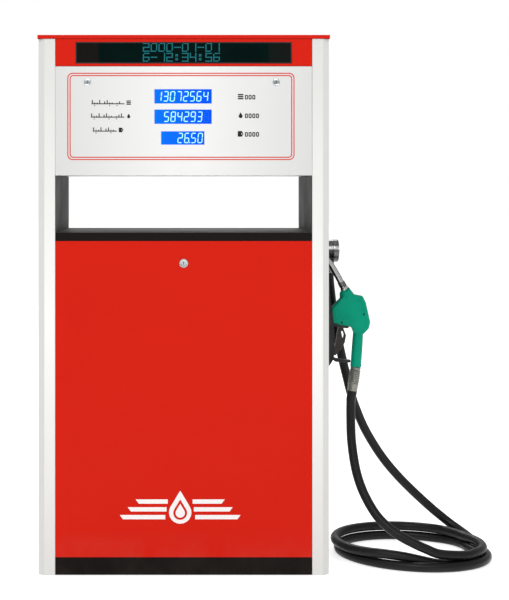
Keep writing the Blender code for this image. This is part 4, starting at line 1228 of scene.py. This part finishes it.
def cam_lock(node, x, z, radius, reach):
    """A plated cam lock: rolled flange, sunk plug with its keyway, barrel, nut and cam of a given reach."""
    place = facing_front(FRONT, x, z)
    barrel, plug = radius * 0.72, radius * 0.56
    lock = Build()
    flange = [
        (plug + 0.0003, 0.0004), (radius, 0.0004), (radius, 0.0014), (radius * 0.93, 0.0024),
        (radius * 0.8, 0.0027), (radius * 0.68, 0.0022), (plug + 0.0003, 0.0021),
    ]
    lock.turned(flange, place, 48, closed=True)
    keyway = rounded(-0.0011, 0.0011, -plug * 0.62, plug * 0.62, 0.0008, 2)
    lock.plate(circle(plug, 40), 0.0016, place @ move(0, 0, 0.001), [keyway])
    lock.turned([(plug, -0.001), (plug, 0.0001)], place, 32, part=1)
    thread = [(barrel, -0.019)]
    for n in range(16):
        level = -0.0185 + n * 0.0011
        thread += [(barrel, level), (barrel - 0.0004, level + 0.00055)]
    thread.append((barrel, -0.0003))
    lock.turned(thread, place, 32)
    lock.turned([(barrel + 0.0045, -0.006), (barrel + 0.0045, -0.0022)], place, 6)
    cam = rounded(-0.006, 0.006, -barrel * 0.6, reach, 0.0035, 4)
    lock.plate(cam, 0.0022, place @ move(0, 0, -0.0172), edge=0.0003)
    lock.bolt(place @ Vector((0, 0, -0.019)), (0, 1, 0), 0.008)
    name = node.replace("lock", "lock_set")
    piece = show(name, lock, [LOCK, KEYHOLE], node, replaces=[node], angle=30)
    rear_copy(piece, node.replace("front", "rear"))


def locks():
    for side, x in HEAD_LOCKS:
        cam_lock(f"head_lock_front_{side}", x, HEAD_LOCK_Z, 0.011, 0.0255)
    cam_lock("door_lock_front", 0.0, DOOR_LOCK_Z, 0.014, 0.0395)


# ---------------------------------------------------------------- machinery
def motor_unit():
    """The drive motor: ribbed barrel, end bells, fan cowl, terminal box and bolted foot."""
    low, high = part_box("motor")
    x, z = MOTOR_X, MOTOR_Z
    front, rear = low.y, high.y
    length = rear - front
    place = aimed((x, front, z), (0, 1, 0))
    unit = Build()
    body = [
        (0.0107, 0.002), (0.026, 0.0), (0.03, 0.006), (0.052, 0.007), (0.068, 0.014), (0.078, 0.026),
        (0.08, 0.034), (0.0755, 0.036), (0.0755, length - 0.05), (0.083, length - 0.049),
        (0.084, length - 0.012), (0.078, length - 0.003), (0.06, length), (0.0107, length - 0.001),
    ]
    unit.turned(body, place, 64, closed=True)
    fins = 36
    for n in range(fins):
        turn = 2 * math.pi * n / fins
        from_box = abs(math.remainder(turn - math.pi / 2, 2 * math.pi))
        from_foot = abs(math.remainder(turn + math.pi / 2, 2 * math.pi))
        if from_box >= 0.42 and from_foot >= 0.5:
            spin = move(x, 0, z) @ Matrix.Rotation(-turn, 4, "Y")
            unit.box((0.074, 0.0845), (front + 0.037, rear - 0.051), (-0.0012, 0.0012), spin)
    bolt_ring(unit, (x, front + 0.014, z), (0, -1, 0), 0.066, 8, 0.008, math.pi / 8, 1)
    for n in range(5):
        radius = 0.02 + n * 0.011
        cowl = [(radius, -0.0005), (radius + 0.004, -0.0005), (radius + 0.004, 0.0012), (radius, 0.0012)]
        unit.turned(cowl, place @ move(0, 0, length), 48, closed=True)
    foot = [
        (-0.055, 0.0503), (0.055, 0.0503), (0.055, 0.06), (0.04, 0.064),
        (0.034, 0.108), (-0.034, 0.108), (-0.04, 0.064), (-0.055, 0.06),
    ]
    unit.plate(foot, 0.124, facing_front(MOTOR_FEET_Y, x), edge=0.001)
    for side in (-1, 1):
        for y in (-0.012, 0.083):
            unit.bolt((x + side * 0.0475, y, 0.0605), (0, 0, 1), 0.012, 1)
    unit.box((x - 0.04, x + 0.04), (-0.0105, 0.0815), (z + 0.062, z + 0.103))
    unit.box((x - 0.042, x + 0.042), (-0.0125, 0.0835), (z + 0.1035, z + 0.1145))
    for side in (-1, 1):
        for y in (-0.004, 0.075):
            unit.bolt((x + side * 0.034, y, z + 0.1145), (0, 0, 1), 0.007, 1)
    gland = [(0.012, 0.0), (0.012, 0.01), (0.009, 0.016)]
    unit.turned(gland, aimed((x - 0.04, 0.035, z + 0.083), (-1, 0, 0)), 6, 1)
    show("motor_unit", unit, [MOTOR, STEEL], "cabinet", 0.0006, replaces=["motor"])


def bolt_ring(build, centre, along, radius, count, size, start=0.0, part=0):
    """Bolts evenly round an axis, on a face."""
    place = aimed(centre, along)
    for n in range(count):
        turn = start + 2 * math.pi * n / count
        spot = place @ Vector((radius * math.cos(turn), radius * math.sin(turn), 0.0))
        build.bolt(spot, along, size, part)


def pump_fittings():
    """Bolts and union nuts on the pump, the meter and their pipes, and the pump's data plate."""
    steel = Build()
    up = (0, 0, 1)
    bolt_ring(steel, (PUMP_X, PUMP_FACE_Y, PUMP_Z), (0, -1, 0), 0.066, 8, 0.011, math.pi / 8)
    for x in (-0.02, 0.14):
        for z in (0.205, 0.395):
            steel.bolt((x, PUMP_FACE_Y, z), (0, -1, 0), 0.011)
    bolt_ring(steel, (0.12, 0.03, 0.44), up, 0.022, 4, 0.009)
    bolt_ring(steel, (0.02, 0.03, 0.47), up, 0.034, 6, 0.01, 0.3)
    for side in (1, -1):
        bolt_ring(steel, METER + Vector((0, side * 0.088, 0)), (0, side, 0), 0.028, 4, 0.009, math.pi / 4)
    bolt_ring(steel, METER + Vector((0, 0, 0.05)), up, 0.048, 8, 0.009)
    nuts = (
        ((-0.095, 0.0, 0.06), up, 0.022), ((-0.052, 0.0, 0.24), (1, 0, 0), 0.022),
        ((0.02, 0.03, 0.4706), up, 0.019), ((0.098, 0.02, 0.55), (1, 0, 0), 0.019),
        ((0.3475, 0.02, 0.5502), (1, 0, 0), 0.0165), ((0.372, OUTLET_Y, 0.86), up, 0.0165),
    )
    for start, along, radius in nuts:
        body = [(radius * 0.9, 0.0), (radius, 0.0015), (radius, 0.011), (radius * 0.9, 0.0125)]
        steel.turned(body, aimed(start, along), 6)
    show("pump_fittings", steel, ZINC, "cabinet", 0.0003)
    label = rounded(-0.02, 0.02, -0.011, 0.011, 0.003)
    plate = Build().plate(label, 0.0008, facing_front(PUMP_FACE_Y - 0.0005, 0.0, 0.375))
    show("pump_data_plate", plate, LOCK, "cabinet")


def computer_fittings():
    """The calculating unit's case: a folded lid, side fins, screws and threaded cable glands."""
    low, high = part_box("computer_box")
    top = low.z + 0.18
    lap = 0.0015
    case = Build()
    case.box((low.x, high.x), (low.y, high.y), (low.z, top - 0.02))
    case.box((low.x - lap, high.x + lap), (low.y - lap, high.y + lap), (top - 0.0195, top))
    for side in (-1, 1):
        face = side * high.y
        for n in range(13):
            x = -0.12 + n * 0.02
            spans = sorted((face, face + side * 0.0035))
            case.box((x - 0.002, x + 0.002), spans, (low.z + 0.03, top - 0.05))
        for x in (-0.145, 0.145):
            for z in (low.z + 0.015, top - 0.01):
                case.bolt((x, face + side * lap, z), (0, side, 0), 0.007, 1)
    gland = [
        (0.008, 0.006), (0.01, 0.006), (0.01, 0.013), (0.007, 0.0175), (0.005, 0.0178),
        (0.005, 0.01), (0.008, 0.01),
    ]
    for x in (-0.09, -0.03, 0.03, 0.09):
        case.turned([(0.011, 0.0), (0.011, 0.006)], move(x, 0.0, top), 6, 2)
        case.turned(gland, move(x, 0.0, top), 28, 2, closed=True)
    finishes = [ZINC, STEEL, PLASTIC]
    show("computer_case", case, finishes, "cabinet", 0.0006, replaces=["computer_box"])


# ---------------------------------------------------------------- outlet, boot and nozzle
def outlet_drum():
    """The polished outlet casting with a rolled cap, a hexagon plug and the hose spigot."""
    drum = Build()
    place = aimed((SIDE_FACE, OUTLET_Y, DRUM_Z), (1, 0, 0))
    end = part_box("outlet_elbow")[1].x - SIDE_FACE
    profile = [
        (0.014, -0.0567), (0.014, 0.0003), (0.0385, 0.0003), (0.0385, 0.0048), (0.0375, 0.0062),
        (0.0366, 0.0066), (0.0366, end - 0.019), (0.0371, end - 0.018), (0.0382, end - 0.0176),
        (0.0382, end - 0.004), (0.037, end - 0.0012), (0.0345, end), (0.015, end),
    ]
    drum.turned(profile, place, 72)
    drum.turned([(0.0115, end - 0.0005), (0.0115, end + 0.003), (0.01, end + 0.0038)], place, 6)
    x, y, z = HOSE_EXIT
    spigot = [
        (0.0165, z + 0.0006), (0.0172, z + 0.001), (0.0172, z + 0.007), (0.0182, z + 0.0085),
        (0.0182, z + 0.015), (0.0172, z + 0.0165), (0.0172, OUTLET_Z - 0.01),
    ]
    drum.turned(spigot, move(x, y, 0.0), 48)
    show("outlet_drum", drum, DRUM, "cabinet", replaces=["outlet_elbow"], angle=30)
    section = [(0.0385, -0.0002), (0.0402, -0.0002), (0.0402, 0.0014), (0.0385, 0.002)]
    gasket = Build().turned(section, place, 64, closed=True)
    show("outlet_gasket", gasket, PLASTIC, "cabinet")


def boot_trim():
    """A rolled lip along each side of the nozzle boot's mouth, and the boot's four screws."""
    low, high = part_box("nozzle_boot")
    lip = [
        (0.4775, low.z + 0.002), (0.4918, low.z + 0.034), (0.4922, 0.76), (0.4822, 0.842),
        (0.4702, 0.95), (0.4622, high.z - 0.003),
    ]
    trim = Build()
    half = high.y - 0.0012
    for y in (-half, half):
        trim.tube(smooth_curve([(x, y, z) for x, z in lip], 40), 0.0022, 12)
    for z in (0.66, 1.02):
        for y in (-0.03, 0.03):
            screw_head(trim, (0.4092, y, z), (1, 0, 0), 0.004)
    show("boot_trim", trim, PLASTIC, "cabinet")


def inside(x, z, outline):
    """How far a point lies inside an outline, negative outside it."""
    nearest, within = 1.0, False
    for (x0, z0), (x1, z1) in zip(outline, outline[1:] + outline[:1]):
        if (z0 > z) != (z1 > z) and x < (x1 - x0) * (z - z0) / (z1 - z0) + x0:
            within = not within
        along = Vector((x1 - x0, z1 - z0))
        share = min(1.0, max(0.0, Vector((x - x0, z - z0)).dot(along) / along.length_squared))
        nearest = min(nearest, math.hypot(x - x0 - share * along.x, z - z0 - share * along.y))
    return nearest if within else -nearest


NOZZLE_OUTLINE = [
    (0.533, 0.87), (0.522, 0.8545), (0.49, 0.8215), (0.4835, 0.7745), (0.5251, 0.7635),
    (0.5464, 0.7617), (0.558, 0.754), (0.5643, 0.7368), (0.5952, 0.7348), (0.6128, 0.7534),
    (0.6175, 0.7749), (0.6029, 0.8397), (0.5929, 0.86), (0.5597, 0.8663), (0.5485, 0.8894),
]


def nozzle_grip(build):
    """The tapered oval handle, with the cover's hem at its foot."""
    run = HANDLE_FOOT - HANDLE_TOP
    along = run.normalized()
    across = Vector((-along.z, 0.0, along.x))
    rings = []
    for share in sorted([n / 24 for n in range(25)] + [0.985]):
        swell = 0.0012 * math.sin(math.pi * share) + (0.0011 if share > 0.955 else 0.0)
        half_x, half_y = 0.0152 + 0.0018 * share + swell, 0.0172 + swell
        centre = HANDLE_TOP + along * run.length * share
        ring = []
        for n in range(40):
            turn = 2 * math.pi * n / 40
            u = math.copysign(abs(math.cos(turn)) ** 0.85, math.cos(turn)) * half_x
            v = math.copysign(abs(math.sin(turn)) ** 0.85, math.sin(turn)) * half_y
            ring.append(centre + across * u + Vector((0, v, 0)))
        rings.append(ring)
    build.rings(rings)


def nozzle_cover():
    """The dipped green cover: body, neck and grip in one soft skin, open for the trigger."""
    slab = Build().plate(NOZZLE_OUTLINE, 0.0436, facing_front(0.0), edge=0.006)
    holder = placed("slab", slab.finished("slab"))
    tool = placed("slot", Build().box((0.506, 0.546), (-0.0092, 0.0092), (0.745, 0.787)).finished("slot"))
    slot = holder.modifiers.new("slot", "BOOLEAN")
    slot.object = tool
    slot.operation = "DIFFERENCE"
    whole = Build().add(evaluated(holder))
    nozzle_grip(whole)
    collar = [
        (0.017, -0.006), (0.0228, 0.0), (0.0246, 0.003), (0.024, 0.008), (0.02, 0.0205),
        (0.017, 0.0262), (0.0145, 0.0285),
    ]
    whole.turned(collar, aimed((0.544, 0.0, 0.853), (-0.36, 0.0, 0.933)), 40)
    bpy.data.objects.remove(tool)
    holder.modifiers.clear()
    holder.data = whole.finished("cover")
    skin = holder.modifiers.new("skin", "REMESH")
    skin.mode = "VOXEL"
    skin.voxel_size = 0.0013
    soft = holder.modifiers.new("soft", "SMOOTH")
    soft.factor = 0.55
    soft.iterations = 6
    moulded = evaluated(holder)
    bpy.data.objects.remove(holder)
    detail_cover(moulded)
    build = Build().add(moulded)
    show("nozzle_cover", build, VINYL, "nozzle", replaces=["nozzle_body"], angle=70)


def detail_cover(mesh):
    """Presses a sunk panel into each flank and leaves the mould's parting ridge."""
    panel = [
        (0.5215, 0.852), (0.505, 0.818), (0.506, 0.79), (0.556, 0.78), (0.603, 0.778),
        (0.5905, 0.842), (0.556, 0.848),
    ]
    for vert in mesh.vertices:
        x, y, z = vert.co
        if abs(y) < 0.0009:
            vert.co += 0.0004 * vert.normal
        if abs(y) > 0.015 and z > 0.77:
            depth = min(1.0, max(0.0, inside(x, z, panel) / 0.0022))
            vert.co.y -= math.copysign(0.001 * depth, y)


def nozzle_fittings():
    """The cover's side screws, the trigger pin's domed heads and the black cheeks beside the trigger."""
    cheek = [
        (0.488, 0.7735), (0.4885, 0.763), (0.52, 0.7555),
        (0.543, 0.754), (0.549, 0.76), (0.525, 0.765),
    ]
    x, z = TRIGGER_PIN
    screws, cheeks = Build(), Build()
    for side in (-1, 1):
        screw_head(screws, (0.5959, side * 0.0209, 0.8008), (0, side, 0), 0.0034)
        screw_head(screws, (x, side * 0.0212, z), (0, side, 0), 0.0036)
        cheeks.plate(cheek, 0.006, facing_front(side * 0.013), edge=0.0008)
    show("nozzle_screws", screws, TRIGGER, "nozzle")
    show("trigger_cheeks", cheeks, PLASTIC, "nozzle")


def spout():
    """The bent spout with its open mouth, its lock ring and the spring over its root."""
    path = [
        (0.5345, 0.0, 0.8826), (0.5148, 0.0, 0.9197), (0.498, 0.0, 0.949), (0.4852, 0.0, 0.968),
        (0.47, 0.0, 0.9845), (0.4505, 0.0, 0.997), (0.43, 0.0, 1.004),
    ]
    pipe = Build().tube(smooth_curve(path, 48), 0.0105, 36, bore=0.0088, depth=0.03)
    place = aimed(path[0], Vector(path[1]) - Vector(path[0]))
    collar = [(0.0107, -0.002), (0.0136, -0.002), (0.0136, 0.005), (0.0122, 0.0066), (0.0107, 0.0066)]
    pipe.turned(collar, place, 40, closed=True)
    show("nozzle_spout", pipe, SPOUT, "nozzle", replaces=["spout"], angle=40)
    turns, pitch, count, radius = 6, 0.003, 14, 0.0117
    wire = []
    for n in range(turns * count + 1):
        turn = 2 * math.pi * n / count
        spot = Vector((radius * math.cos(turn), radius * math.sin(turn), 0.0085 + pitch * n / count))
        wire.append(place @ spot)
    show("spout_spring", Build().tube(wire, 0.001, 10), TRIGGER, "nozzle")


def swivel():
    """The ribbed swivel: a knurled nut, fine ribs, a neck and the hose socket."""
    length = (HOSE_START - HANDLE_FOOT).length
    profile = [(0.012, 0.0006), (0.016, 0.0006), (0.017, 0.002), (0.017, 0.008), (0.0162, 0.0095)]
    groove, rib = 0.0166, 0.0188
    for n in range(7):
        level = 0.0125 + n * 0.0058
        profile += [(groove, level), (rib, level + 0.0012), (rib, level + 0.003), (groove, level + 0.0042)]
    profile += [
        (0.0172, 0.0545), (0.0176, 0.056), (0.0176, 0.06), (0.0168, 0.062),
        (0.0166, 0.072), (0.016, length - 0.006), (0.0154, length - 0.001), (0.012, length - 0.0006),
    ]
    joint = Build().turned(profile, aimed(HANDLE_FOOT, NOZZLE_AXIS), 64)
    show("swivel_joint", joint, SWIVEL, "hose_swivel", replaces=["hose_swivel"], angle=28)


# ---------------------------------------------------------------- main
camera()
studio()
floor()
hose()
cabinet()
cabinet_fittings()
door_insides()
display_frame()
display_marks()
number_screens()
header_digits()
board_parts()
door_mark()
locks()
motor_unit()
pump_fittings()
computer_fittings()
outlet_drum()
boot_trim()
nozzle_cover()
nozzle_fittings()
spout()
swivel()
